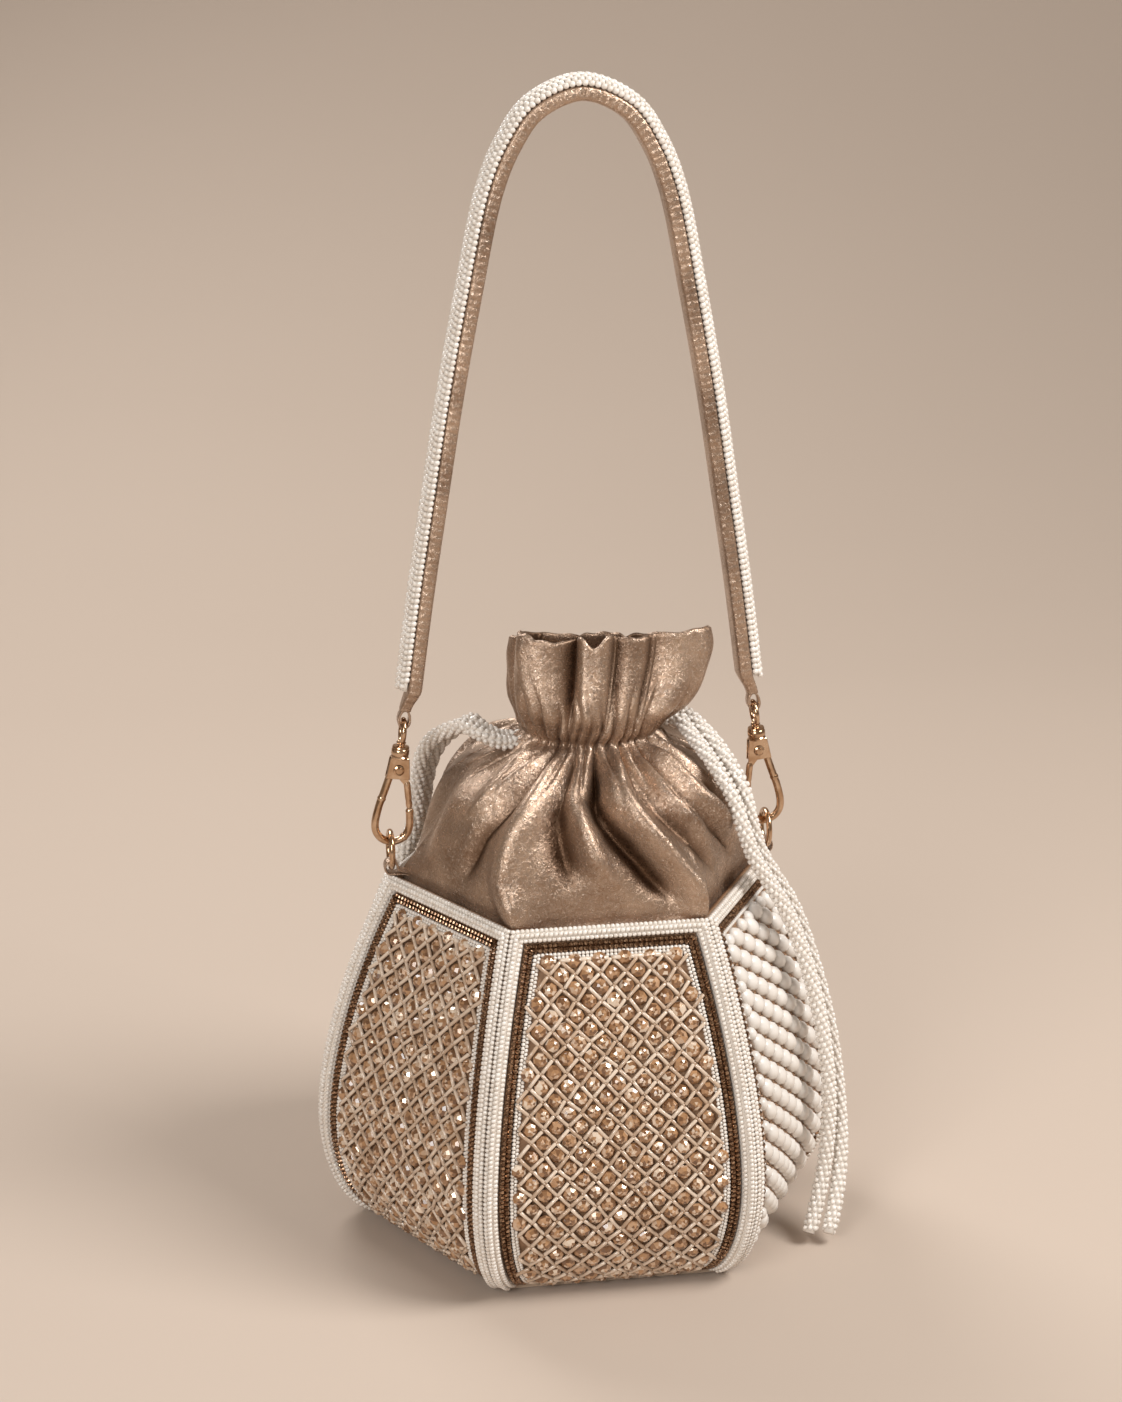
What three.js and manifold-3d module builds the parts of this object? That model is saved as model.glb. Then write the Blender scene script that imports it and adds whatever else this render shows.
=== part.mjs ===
// Potli bag: a six-sided beaded body, a gathered foil-cloth top closed by two beaded drawstrings,
// and a beaded strap handle clipped to two rings with swivel snap hooks.
// Millimetres, +Z up, origin on the ground under the body's axis; the viewer's side is -Y.
import * as THREE from "three";
import { mergeVertices } from "three/addons/utils/BufferGeometryUtils.js";
import Module from "manifold-3d";

const wasm = await Module();
wasm.setup();

// Clearance between pieces that touch
const GAP = 0.3;

// Edges shorter than this are merged after a boolean
const SHORTEST_EDGE = 0.02;

// Body: six panels that lean out from the rim to a belly and curl in to the base
const SIDES = 6;
const RIM_HEIGHT = 124;
const RIM_RADIUS = 63;
const BELLY_HEIGHT = 38;
const BELLY_RADIUS = 88.7;
const FOOT_RADIUS = 70;
const FOOT_LIFT = 3;
const FOOT_ANGLE = THREE.MathUtils.degToRad(80);
const TAPER = 1.7;
const CLOTH = 1.6;
const BEAD_ROOT = 1.45;

// White bead piping round each panel, and the bronze bead line inside it
const PIPING_WIDTH = 4.7;
const PIPING_HEIGHT = 3.2;
const BRONZE_WIDTH = 3.2;
const BRONZE_HEIGHT = 1.7;
const INNER_ROW = 1.7;
const SIDE_STATIONS = 8;
const STATION_CROWDING = 1.4;

// Bead fields: crystals in a diamond net, and slanting rows of oval pearls
const NET_WIDTH = 8.2;
const NET_HEIGHT = 9;
const NET_LOW = 0.9;
const CRYSTAL_HEIGHT = 2.4;
const PEARL_PITCH = 8.4;
const PEARL_ROW = 6.7;
const PEARL_LOW = 0.9;
const PEARL_HEIGHT = 3;
const PEARL_TILT = THREE.MathUtils.degToRad(-35);

// Base board and lining
const BASE_THICKNESS = 3.2;
const BASE_RADIUS = 72.6;
const LINING_DEPTH = 5.2;
const LINING_WALL = 0.8;

// Gathered top: one cloth, sewn inside the rim, drawn in at a neck and open above it in a ruffle
const HEM_DEPTH = 12;
const HEM_INSET = CLOTH + 2.5 * GAP;
const HEM_THICKNESS = 3;
const NECK_HEIGHT = 173;
const NECK_LEAN = 3;
const RUFFLE_LEAN = 8;
const TOP_COLUMNS = 60;
const INNER_COLUMNS = 12;
const TUCKS = 14;
const TUCK_DEPTH = 1.5;
const NECK_SPAN = 7;
const THROAT_RADIUS = 7;
const WALL = 1.6;
// Outline of the cloth at a corner: radius, height, share of the hexagon left, and depth of its folds
const TOP_OUTLINE = [
  [60.4, 126, 1, 0],
  [60, 131, 0.95, 0],
  [58.4, 138.5, 0.8, 0],
  [55.4, 147, 0.6, 0],
  [50.5, 155, 0.4, 0],
  [42.5, 161.5, 0.22, 0],
  [33, 166, 0.08, 0],
  [26.5, 169, 0, 0],
  [24, 173, 0, 0],
  [24, 178, 0, 0.1],
  [27, 184, 0, 0.6],
  [29.6, 192, 0, 0.95],
  [31.4, 201, 0, 1],
  [31, 206.5, 0, 0.9],
];
// Ridges of the shoulder: angle at each height in degrees, then height and half width
const SHOULDER_RIDGES = [
  { at: [[166, 206], [160, 199], [152, 192], [138, 189]], rise: 1.6, width: 4.5 },
  { at: [[168, 216], [155, 205], [131, 187]], rise: 2, width: 5 },
  { at: [[171, 226], [162, 216], [150, 200]], rise: 2, width: 5 },
  { at: [[171, 241], [163, 239], [150, 234], [137, 233], [126, 240]], rise: 3, width: 5.5 },
  { at: [[169, 256], [163, 252], [154, 260], [138, 268]], rise: 2.6, width: 4.5 },
  { at: [[170, 277], [163, 269], [149, 285], [126, 299]], rise: 3.4, width: 5.5 },
  { at: [[168, 294], [160, 295], [151, 308]], rise: 2, width: 4.5 },
  { at: [[169, 312], [156, 318], [140, 334]], rise: 2.2, width: 5 },
  { at: [[168, 336], [156, 342], [132, 352]], rise: 1.8, width: 5 },
];
// The cloth dips behind each hook: depth, half width, and the heights between which it dips
const HOOK_DIP = 7.5;
const HOOK_DIP_WIDTH = 8;
const HOOK_DIP_LOW = 127;
const HOOK_DIP_HIGH = 164;
// Lobes of the ruffle: middle angle, half width in degrees, and how far it stands out
const RUFFLE_LOBES = [
  [215, 27, 3.6],
  [258, 15, 1.5],
  [290, 16, 2.4],
  [338, 27, 9],
  [20, 18, 2],
  [58, 20, 2.6],
  [98, 20, 1.6],
  [136, 18, 2.6],
  [173, 18, 1.2],
];
const RUFFLE_VALLEY = 6;

// Drawstrings: two beaded ropes, each looped once round inside the neck
const ROPE_RADIUS = 2.8;
const ROPE_SIDES = 8;
const BORE_SIDES = 6;
const LOOP_RADIUS = 14.4;
const LOOP_STEPS = 16;
const EXIT_SPREAD = 3.3;
const EXIT_REACH = 19.5;
const EXIT_RUN = 13;
const RIGHT_LOOP_HEIGHT = NECK_HEIGHT + 3.2;
const LEFT_LOOP_HEIGHT = NECK_HEIGHT - 3.2;
const STRAND_STEPS = 18;

// Handle hardware
const RING_OFFSET = 64.5;
const RING_HEIGHT = 133.6;
const RING_RADIUS = 6;
const RING_WIRE = 1;
const TAB_WIDTH = 5;
const TAB_WALL = 0.9;
const TAB_LEG = 1;
const TAB_DEPTH = 10;
const HOOK_LEAN = THREE.MathUtils.degToRad(7);
const HOOK_WIRE = 1.3;
const HOOK_HALF_WIDTH = 5.8;
// Play between the hook's wire and the ring it hangs on
const HOOK_PLAY = 0.9;
const HOOK_SEAT = RING_RADIUS - RING_WIRE - HOOK_WIRE - HOOK_PLAY;
const NOSE_HEIGHT = 12;
const PLATE_LOW = 22.5;
const PLATE_HIGH = 29.3;
const PLATE_HALF_TOP = 3.2;
const PLATE_HALF_LOW = 4;
const CHEEK = 0.8;
const TONGUE = 1.2;
const RIVET_HEIGHT = 25.7;
const RIVET_RADIUS = 0.9;
const BLOCK_RADIUS = 3;
const BLOCK_HIGH = 34;
const STEM_RADIUS = 1.3;
const HEAD_RADIUS = 2;
const EYE_RADIUS = 3.8;
const EYE_WIRE = 0.9;
const EYE_MIDDLE = 39;

// Strap: foil cloth on the inside of the arch, a half-round of beads on the outside
const STRAP_WIDTH = 10;
const STRAP_CLOTH = 4.9;
const STRAP_BEADS = 3.8;
const STRAP_TOP = 384;
const STRAP_STATIONS = 28;
const STRAP_TAPER = 9;
const STRAP_LOOP_WIDTH = 4.4;
const STRAP_LOOP_WALL = 0.8;

const finishes = {
  net: new THREE.MeshStandardMaterial({ color: 0xd9b48c, roughness: 0.35, metalness: 0.1 }),
  pearl: new THREE.MeshStandardMaterial({ color: 0xf1ebe2, roughness: 0.3, metalness: 0 }),
  bronze: new THREE.MeshStandardMaterial({ color: 0x7a5028, roughness: 0.3, metalness: 0.8 }),
  foil: new THREE.MeshStandardMaterial({ color: 0xc9a483, roughness: 0.4, metalness: 0.5 }),
  satin: new THREE.MeshStandardMaterial({ color: 0xcdb094, roughness: 0.5, metalness: 0 }),
  gold: new THREE.MeshStandardMaterial({ color: 0xc79a5b, roughness: 0.2, metalness: 1 }),
};

const bag = new THREE.Group();

function addPiece(parent, name, geometry, finish) {
  const mesh = new THREE.Mesh(geometry, finish);
  mesh.name = name;
  parent.add(mesh);
  return mesh;
}

// Positions and faces only, with shared vertices merged and faces turned outwards.
function tidyGeometry(geometry) {
  const bare = geometry.clone();
  bare.deleteAttribute("normal");
  bare.deleteAttribute("uv");
  const merged = mergeVertices(bare, 1e-4);
  const place = merged.attributes.position.array;
  const index = Array.from(merged.index.array);
  const corner = (i) => new THREE.Vector3().fromArray(place, 3 * i);
  let volume = 0;
  for (let i = 0; i < index.length; i += 3) {
    const [a, b, c] = [corner(index[i]), corner(index[i + 1]), corner(index[i + 2])];
    volume += a.dot(b.cross(c));
  }
  if (volume < 0) {
    index.reverse();
  }
  merged.setIndex(index);
  return merged;
}

function toSolid(geometry) {
  const bare = tidyGeometry(geometry);
  return new wasm.Manifold(
    new wasm.Mesh({
      numProp: 3,
      vertProperties: bare.attributes.position.array,
      triVerts: new Uint32Array(bare.index.array),
    }),
  );
}

function fromSolid(solid) {
  const mesh = solid.simplify(SHORTEST_EDGE).getMesh();
  const geometry = new THREE.BufferGeometry();
  geometry.setAttribute("position", new THREE.BufferAttribute(mesh.vertProperties, 3));
  geometry.setIndex(new THREE.BufferAttribute(mesh.triVerts, 1));
  return geometry;
}

function join(...geometries) {
  return fromSolid(geometries.map(toSolid).reduce((all, one) => all.add(one)));
}

function cut(body, ...tools) {
  return fromSolid(tools.map(toSolid).reduce((left, tool) => left.subtract(tool), toSolid(body)));
}

// A closed solid through rings of points, each ring a convex loop, with fan caps at both ends.
function ringSolid(rings) {
  const count = rings[0].length;
  const points = rings.flat().flatMap((p) => p.toArray());
  const faces = [];
  for (let r = 0; r + 1 < rings.length; r += 1) {
    for (let k = 0; k < count; k += 1) {
      const a = r * count + k;
      const b = r * count + ((k + 1) % count);
      faces.push(a, b, b + count, a, b + count, a + count);
    }
  }
  const last = (rings.length - 1) * count;
  for (let k = 1; k + 1 < count; k += 1) {
    faces.push(0, k + 1, k);
    faces.push(last, last + k, last + k + 1);
  }
  const geometry = new THREE.BufferGeometry();
  geometry.setAttribute("position", new THREE.Float32BufferAttribute(points, 3));
  geometry.setIndex(faces);
  return tidyGeometry(geometry);
}

function circleShape(radius, sides) {
  const shape = new THREE.Shape();
  for (let k = 0; k <= sides; k += 1) {
    const turn = (2 * Math.PI * k) / sides;
    shape[k ? "lineTo" : "moveTo"](radius * Math.cos(turn), radius * Math.sin(turn));
  }
  return shape;
}

function tube(curve, radius, sides, steps) {
  const options = { extrudePath: curve, steps, bevelEnabled: false };
  return tidyGeometry(new THREE.ExtrudeGeometry(circleShape(radius, sides), options));
}

// A flat outline in x and z, thickened evenly to both sides of y = 0.
function plate(shape, thickness, curveSegments = 6) {
  const options = { depth: thickness, bevelEnabled: false, curveSegments };
  const geometry = new THREE.ExtrudeGeometry(shape, options);
  geometry.rotateX(Math.PI / 2);
  geometry.translate(0, thickness / 2, 0);
  return geometry;
}

// A turned solid about Z, from radius and height pairs; six sides put a corner on +X.
function turned(profile, segments) {
  const points = profile.map(([r, z]) => new THREE.Vector2(r, z));
  const geometry = new THREE.LatheGeometry(points, segments, Math.PI / 2);
  geometry.rotateX(Math.PI / 2);
  return tidyGeometry(geometry);
}

// The panels' meridian at a corner of the hexagon, as points evenly spaced by length.
function bodyRadius(z) {
  const rise = Math.max(z - BELLY_HEIGHT, 0) / (RIM_HEIGHT - BELLY_HEIGHT);
  return BELLY_RADIUS - (BELLY_RADIUS - RIM_RADIUS) * rise ** TAPER;
}

function footPoint(turn) {
  const r = FOOT_RADIUS + (BELLY_RADIUS - FOOT_RADIUS) * Math.cos(turn);
  const z = BELLY_HEIGHT - (BELLY_HEIGHT - FOOT_LIFT) * Math.sin(turn);
  return new THREE.Vector2(r, z);
}

const MERIDIAN_SAMPLES = 240;
const meridianPoints = [];
for (let k = 0; k < MERIDIAN_SAMPLES; k += 1) {
  meridianPoints.push(footPoint(FOOT_ANGLE * (1 - k / MERIDIAN_SAMPLES)));
}
for (let k = 0; k <= MERIDIAN_SAMPLES; k += 1) {
  const z = THREE.MathUtils.lerp(BELLY_HEIGHT, RIM_HEIGHT, k / MERIDIAN_SAMPLES);
  meridianPoints.push(new THREE.Vector2(bodyRadius(z), z));
}
const meridianLengths = [0];
for (let k = 1; k < meridianPoints.length; k += 1) {
  const step = meridianPoints[k].distanceTo(meridianPoints[k - 1]);
  meridianLengths.push(meridianLengths[k - 1] + step);
}
const PANEL_LENGTH = meridianLengths.at(-1);

// Radius, height and outward normal at a length t up the meridian from the foot.
function meridian(t) {
  const length = THREE.MathUtils.clamp(t, 0, PANEL_LENGTH);
  let k = 1;
  while (k < meridianLengths.length - 1 && meridianLengths[k] < length) {
    k += 1;
  }
  const low = meridianPoints[k - 1];
  const high = meridianPoints[k];
  const share = (length - meridianLengths[k - 1]) / (meridianLengths[k] - meridianLengths[k - 1]);
  const along = high.clone().sub(low).normalize();
  const point = low.clone().lerp(high, share).addScaledVector(along, t - length);
  return { r: point.x, z: point.y, nr: along.y, nz: -along.x };
}

const HALF_ANGLE = Math.PI / SIDES;

function halfWidth(t) {
  return meridian(t).r * Math.sin(HALF_ANGLE);
}

// A point of a panel: s across from its middle line, t up it and h out of the cloth.
// The width is scaled with h, so every layer is mitred at the corners.
function panelPoint(facing, s, t, h) {
  const m = meridian(t);
  const middle = m.r * Math.cos(HALF_ANGLE);
  const out = middle + h * m.nr;
  const across = (s * out) / middle;
  return new THREE.Vector3(
    out * Math.cos(facing) - across * Math.sin(facing),
    out * Math.sin(facing) + across * Math.cos(facing),
    m.z + h * m.nz,
  );
}

const SIDE_TOP = PANEL_LENGTH - PIPING_WIDTH - BRONZE_WIDTH - 1;
const sideStations = [];
for (let k = 0; k <= SIDE_STATIONS; k += 1) {
  sideStations.push(SIDE_TOP * (k / SIDE_STATIONS) ** STATION_CROWDING);
}

// A strip of the piping along both sides and the top of a panel, from distance and height pairs.
function borderStrip(facing, section) {
  const edge = GAP / 2;
  const cornerRing = (sign) =>
    section.map(([d, h]) => {
      const t = PANEL_LENGTH - d;
      return panelPoint(facing, sign * (halfWidth(t) - edge - d), t, h);
    });
  const sideRing = (t, sign) =>
    section.map(([d, h]) => panelPoint(facing, sign * (halfWidth(t) - edge - d), t, h));
  const left = sideStations.map((t) => sideRing(t, -1));
  const right = sideStations.map((t) => sideRing(t, 1)).reverse();
  return ringSolid([...left, cornerRing(-1), cornerRing(1), ...right]);
}

const pipingSection = [
  [0, GAP],
  [0.5, 0.75 * PIPING_HEIGHT + GAP],
  [PIPING_WIDTH / 2, PIPING_HEIGHT + GAP],
  [PIPING_WIDTH - 0.5, 0.75 * PIPING_HEIGHT + GAP],
  [PIPING_WIDTH, GAP],
];
const bronzeStart = PIPING_WIDTH + GAP;
const bronzeSection = [
  [bronzeStart, GAP],
  [bronzeStart + 0.4, BRONZE_HEIGHT + GAP],
  [bronzeStart + BRONZE_WIDTH - 0.4, BRONZE_HEIGHT + GAP],
  [bronzeStart + BRONZE_WIDTH, GAP],
];
const FIELD_EDGE = bronzeStart + BRONZE_WIDTH + INNER_ROW;

// The backing cloth of a panel, one flat strip between each pair of stations.
function backing(facing) {
  const stations = [...sideStations, PANEL_LENGTH - FIELD_EDGE / 2, PANEL_LENGTH];
  return ringSolid(
    stations.map((t) => {
      const side = halfWidth(t) - GAP / 2;
      return [
        panelPoint(facing, -side, t, 0),
        panelPoint(facing, side, t, 0),
        panelPoint(facing, side, t, -CLOTH),
        panelPoint(facing, -side, t, -CLOTH),
      ];
    }),
  );
}

// The space that a panel's beads fill inside its borders.
function fieldSpace(facing, top) {
  const stations = [0.2, ...sideStations.slice(1), PANEL_LENGTH - FIELD_EDGE];
  return ringSolid(
    stations.map((t) => {
      const side = halfWidth(t) - FIELD_EDGE;
      return [
        panelPoint(facing, -side, t, top),
        panelPoint(facing, side, t, top),
        panelPoint(facing, side, t, -CLOTH),
        panelPoint(facing, -side, t, -CLOTH),
      ];
    }),
  );
}

// Raised beads on a chequer of points: odd points stand high, even points lie low.
function beadRelief(facing, halfX, halfY, low, high, tilt) {
  const reach = PANEL_LENGTH * 0.75;
  const columns = Math.ceil(reach / halfX);
  const rows = Math.ceil(reach / halfY);
  const points = [];
  const faces = [];
  const wide = 2 * columns + 1;
  const layer = wide * (2 * rows + 1);
  for (const floor of [false, true]) {
    for (let j = -rows; j <= rows; j += 1) {
      for (let i = -columns; i <= columns; i += 1) {
        const odd = Math.abs(i + j) % 2 === 1;
        const s = i * halfX * Math.cos(tilt) - j * halfY * Math.sin(tilt);
        const t = i * halfX * Math.sin(tilt) + j * halfY * Math.cos(tilt) + PANEL_LENGTH / 2;
        const h = floor ? -BEAD_ROOT : odd ? high : low;
        points.push(...panelPoint(facing, s, t, h).toArray());
      }
    }
  }
  const quad = (a, b, c, d, odd) => {
    if (odd) {
      faces.push(a, b, c, a, c, d);
    } else {
      faces.push(a, b, d, b, c, d);
    }
  };
  for (let j = 0; j < 2 * rows; j += 1) {
    for (let i = 0; i < 2 * columns; i += 1) {
      const a = j * wide + i;
      const even = (i + j + rows + columns) % 2 === 0;
      quad(a, a + 1, a + 1 + wide, a + wide, even);
      quad(layer + a, layer + a + wide, layer + a + 1 + wide, layer + a + 1, even);
    }
  }
  for (let i = 0; i < 2 * columns; i += 1) {
    const top = 2 * rows * wide + i;
    quad(layer + i, layer + i + 1, i + 1, i, true);
    quad(top, top + 1, layer + top + 1, layer + top, true);
  }
  for (let j = 0; j < 2 * rows; j += 1) {
    const a = j * wide;
    const b = a + wide - 1;
    quad(a, a + wide, layer + a + wide, layer + a, true);
    quad(layer + b, layer + b + wide, b + wide, b, true);
  }
  const geometry = new THREE.BufferGeometry();
  geometry.setAttribute("position", new THREE.Float32BufferAttribute(points, 3));
  geometry.setIndex(faces);
  return geometry;
}

function beadedPanel(facing, pearls) {
  const relief = pearls
    ? beadRelief(facing, PEARL_PITCH / 2, PEARL_ROW, PEARL_LOW, PEARL_HEIGHT, PEARL_TILT)
    : beadRelief(facing, NET_WIDTH / 2, NET_HEIGHT / 2, NET_LOW, CRYSTAL_HEIGHT, 0);
  const field = toSolid(relief).intersect(toSolid(fieldSpace(facing, PEARL_HEIGHT + 2)));
  return fromSolid(toSolid(backing(facing)).add(field));
}

const PANELS = [
  { name: "back_right", pearls: false },
  { name: "back", pearls: false },
  { name: "back_left", pearls: true },
  { name: "front_left", pearls: false },
  { name: "front", pearls: false },
  { name: "front_right", pearls: true },
];
PANELS.forEach(({ name, pearls }, k) => {
  const facing = (2 * k + 1) * HALF_ANGLE;
  addPiece(bag, "panel_" + name, beadedPanel(facing, pearls), pearls ? finishes.pearl : finishes.net);
  addPiece(bag, "piping_" + name, borderStrip(facing, pipingSection), finishes.pearl);
  addPiece(bag, "bronze_line_" + name, borderStrip(facing, bronzeSection), finishes.bronze);
});

addPiece(
  bag,
  "base_board",
  turned([[0, 0], [BASE_RADIUS, 0], [BASE_RADIUS, BASE_THICKNESS], [0, BASE_THICKNESS]], SIDES),
  finishes.satin,
);

// The lining follows the panels inside, from the base board up to the hem of the top.
function lining() {
  const slant = Math.cos(HALF_ANGLE);
  const inner = [];
  const outer = [];
  for (const share of [0.12, 0.2, 0.32, 0.48, 0.65, 0.8, 0.9]) {
    const m = meridian(share * PANEL_LENGTH);
    outer.push([m.r - (LINING_DEPTH * m.nr) / slant, m.z - LINING_DEPTH * m.nz]);
    const depth = LINING_DEPTH + LINING_WALL;
    inner.push([m.r - (depth * m.nr) / slant, m.z - depth * m.nz]);
  }
  const floor = BASE_THICKNESS + GAP;
  const foot = BASE_RADIUS - 2;
  const profile = [
    [0, floor],
    [foot, floor],
    ...outer,
    ...inner.reverse(),
    [foot - LINING_WALL, floor + LINING_WALL],
    [0, floor + LINING_WALL],
  ];
  return turned(profile, SIDES);
}
addPiece(bag, "lining", lining(), finishes.satin);

// How far the neck and ruffle lean to +X at a height.
function lean(z) {
  const low = THREE.MathUtils.smoothstep(z, RIM_HEIGHT, NECK_HEIGHT) * NECK_LEAN;
  const rest = THREE.MathUtils.smoothstep(z, NECK_HEIGHT, TOP_OUTLINE.at(-1)[1]);
  return low + rest * (RUFFLE_LEAN - NECK_LEAN);
}

// Radius of a hexagon of unit corner radius, with its corners at 0, 60 ... degrees.
function hexagonRadius(turn) {
  const sector = 2 * HALF_ANGLE;
  const past = ((turn % sector) + sector) % sector;
  return Math.cos(HALF_ANGLE) / Math.cos(past - HALF_ANGLE);
}

function angleBetween(a, b) {
  return Math.abs(((((a - b) % 360) + 540) % 360) - 180);
}

// The angle of a ridge at a height, straight between its listed points.
function ridgeAngle(at, z) {
  const k = at.findIndex(([height]) => z >= height);
  if (k <= 0) {
    return k === 0 ? at[0][1] : at.at(-1)[1];
  }
  const [highZ, highTurn] = at[k - 1];
  const [lowZ, lowTurn] = at[k];
  return THREE.MathUtils.mapLinear(z, lowZ, highZ, lowTurn, highTurn);
}

// Height of the shoulder's folds: a soft ridge along each line, on the front and again on the back.
function shoulderFold(degrees, z, radius) {
  let height = 0;
  for (const ridge of SHOULDER_RIDGES) {
    const low = ridge.at.at(-1)[0];
    const shown = THREE.MathUtils.smoothstep(z, low - 6, low + 8);
    for (const half of [0, 180]) {
      const away = (angleBetween(degrees, ridgeAngle(ridge.at, z) + half) * Math.PI * radius) / 180;
      const spread = Math.min(ridge.width, 0.16 * radius);
      height += ridge.rise * shown * Math.exp(-((away / spread) ** 2));
    }
  }
  return height * (1 - THREE.MathUtils.smoothstep(z, NECK_HEIGHT - NECK_SPAN, NECK_HEIGHT));
}

// Depth of the ruffle: deep between its lobes, and standing out at the middle of each.
function ruffleFold(degrees) {
  let lobes = 0;
  for (const [middle, half, stand] of RUFFLE_LOBES) {
    const share = Math.min(angleBetween(degrees, middle) / half, 1);
    lobes += (RUFFLE_VALLEY + stand) * Math.cos((share * Math.PI) / 2) ** 0.8;
  }
  return lobes - RUFFLE_VALLEY;
}

function hookDip(y, z) {
  const share = THREE.MathUtils.clamp((z - HOOK_DIP_LOW) / (HOOK_DIP_HIGH - HOOK_DIP_LOW), 0, 1);
  return HOOK_DIP * Math.sin(Math.PI * share) * Math.exp(-((y / HOOK_DIP_WIDTH) ** 2));
}

function topPoint(row, turn, folded, inset) {
  const [corner, z, hexagonal, ruffled] = row;
  const degrees = THREE.MathUtils.radToDeg(turn);
  const round = THREE.MathUtils.lerp(1, hexagonRadius(turn), hexagonal);
  let r = corner * round - inset;
  r -= hookDip(r * Math.sin(turn), z);
  if (folded) {
    const near = Math.exp(-(((z - NECK_HEIGHT) / NECK_SPAN) ** 2));
    r += shoulderFold(degrees, z, r) + TUCK_DEPTH * near * Math.cos(TUCKS * turn);
    r += ruffled * ruffleFold(degrees);
  }
  return new THREE.Vector3(lean(z) + r * Math.cos(turn), r * Math.sin(turn), z);
}

function topRings(rows, columns, folded, inset) {
  return rows.map((row) =>
    Array.from({ length: columns }, (_, k) =>
      topPoint(row, (2 * Math.PI * k) / columns, folded, inset(row)),
    ),
  );
}

const hemLow = RIM_HEIGHT - HEM_DEPTH;
const hemSlant = HEM_INSET / Math.cos(HALF_ANGLE);
const hemRows = [
  [bodyRadius(hemLow) - hemSlant, hemLow, 1, 0],
  [RIM_RADIUS - hemSlant, RIM_HEIGHT, 1, 0],
];

// The drawstring's loop inside the neck: in at one side, once round, and out beside itself.
function loopCurve(side, height, reach) {
  const turns = [-50, -90, -130, -180, 130, 90, 50];
  const round = turns.map((degrees) => {
    const turn = THREE.MathUtils.degToRad(degrees);
    return [LOOP_RADIUS * Math.cos(turn), LOOP_RADIUS * Math.sin(turn)];
  });
  const route = [
    [reach, -EXIT_SPREAD],
    [LOOP_RADIUS + 3.8, -EXIT_SPREAD],
    [LOOP_RADIUS + 2, -EXIT_SPREAD],
    ...round,
    [LOOP_RADIUS + 2, EXIT_SPREAD],
    [LOOP_RADIUS + 3.8, EXIT_SPREAD],
    [reach, EXIT_SPREAD],
  ];
  const middle = lean(NECK_HEIGHT);
  const points = route.map(([x, y]) => new THREE.Vector3(middle + side * x, side * y, height));
  return new THREE.CatmullRomCurve3(points);
}

// The fabric tab that holds a ring, drawn in x and z: a leg sewn inside the rim and a loop.
const loopMiddle = RING_HEIGHT - RING_RADIUS;
const tabSag = RING_RADIUS - Math.sqrt(RING_RADIUS ** 2 - (TAB_WIDTH / 2) ** 2);
const tabSlotHalf = RING_WIRE + GAP + 0.3;
const tabSlotLow = loopMiddle - RING_WIRE - GAP;
const tabSlotHigh = loopMiddle + tabSag + RING_WIRE + GAP;
const legFace = (z) => bodyRadius(z) - hemSlant - (TAB_WIDTH / 2) * Math.tan(HALF_ANGLE) - GAP / 2;

function tabOutline(grow) {
  const shape = new THREE.Shape();
  const low = RIM_HEIGHT - TAB_DEPTH;
  const half = tabSlotHalf + TAB_WALL + grow;
  const x = RING_OFFSET;
  shape.moveTo(legFace(low) - TAB_LEG - grow, low - grow);
  shape.lineTo(legFace(low) + grow, low - grow);
  shape.lineTo(legFace(RIM_HEIGHT) + grow, RIM_HEIGHT - grow);
  shape.lineTo(legFace(RIM_HEIGHT) + 1.4, tabSlotLow - TAB_WALL - grow);
  shape.lineTo(x + half - 1, tabSlotLow - TAB_WALL - grow);
  shape.lineTo(x + half, tabSlotLow + 0.6);
  shape.lineTo(x + half, tabSlotHigh - 0.4);
  shape.lineTo(x + half - 1, tabSlotHigh + TAB_WALL + grow);
  shape.lineTo(x - half + 1, tabSlotHigh + TAB_WALL + grow);
  shape.lineTo(x - half, tabSlotHigh - 0.4);
  shape.lineTo(legFace(RIM_HEIGHT) - TAB_LEG - grow, RIM_HEIGHT + 1.6 + grow);
  return shape;
}

function ringTab() {
  const shape = tabOutline(0);
  const slot = new THREE.Path();
  slot.moveTo(RING_OFFSET - tabSlotHalf, tabSlotLow + 0.5);
  slot.lineTo(RING_OFFSET - tabSlotHalf + 0.5, tabSlotLow);
  slot.lineTo(RING_OFFSET + tabSlotHalf - 0.5, tabSlotLow);
  slot.lineTo(RING_OFFSET + tabSlotHalf, tabSlotLow + 0.5);
  slot.lineTo(RING_OFFSET + tabSlotHalf, tabSlotHigh);
  slot.lineTo(RING_OFFSET - tabSlotHalf, tabSlotHigh);
  shape.holes.push(slot);
  return plate(shape, TAB_WIDTH);
}

function tabClearance(side) {
  const space = plate(tabOutline(GAP), TAB_WIDTH + 2 * GAP);
  if (side < 0) {
    space.rotateZ(Math.PI);
  }
  return space;
}

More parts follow.
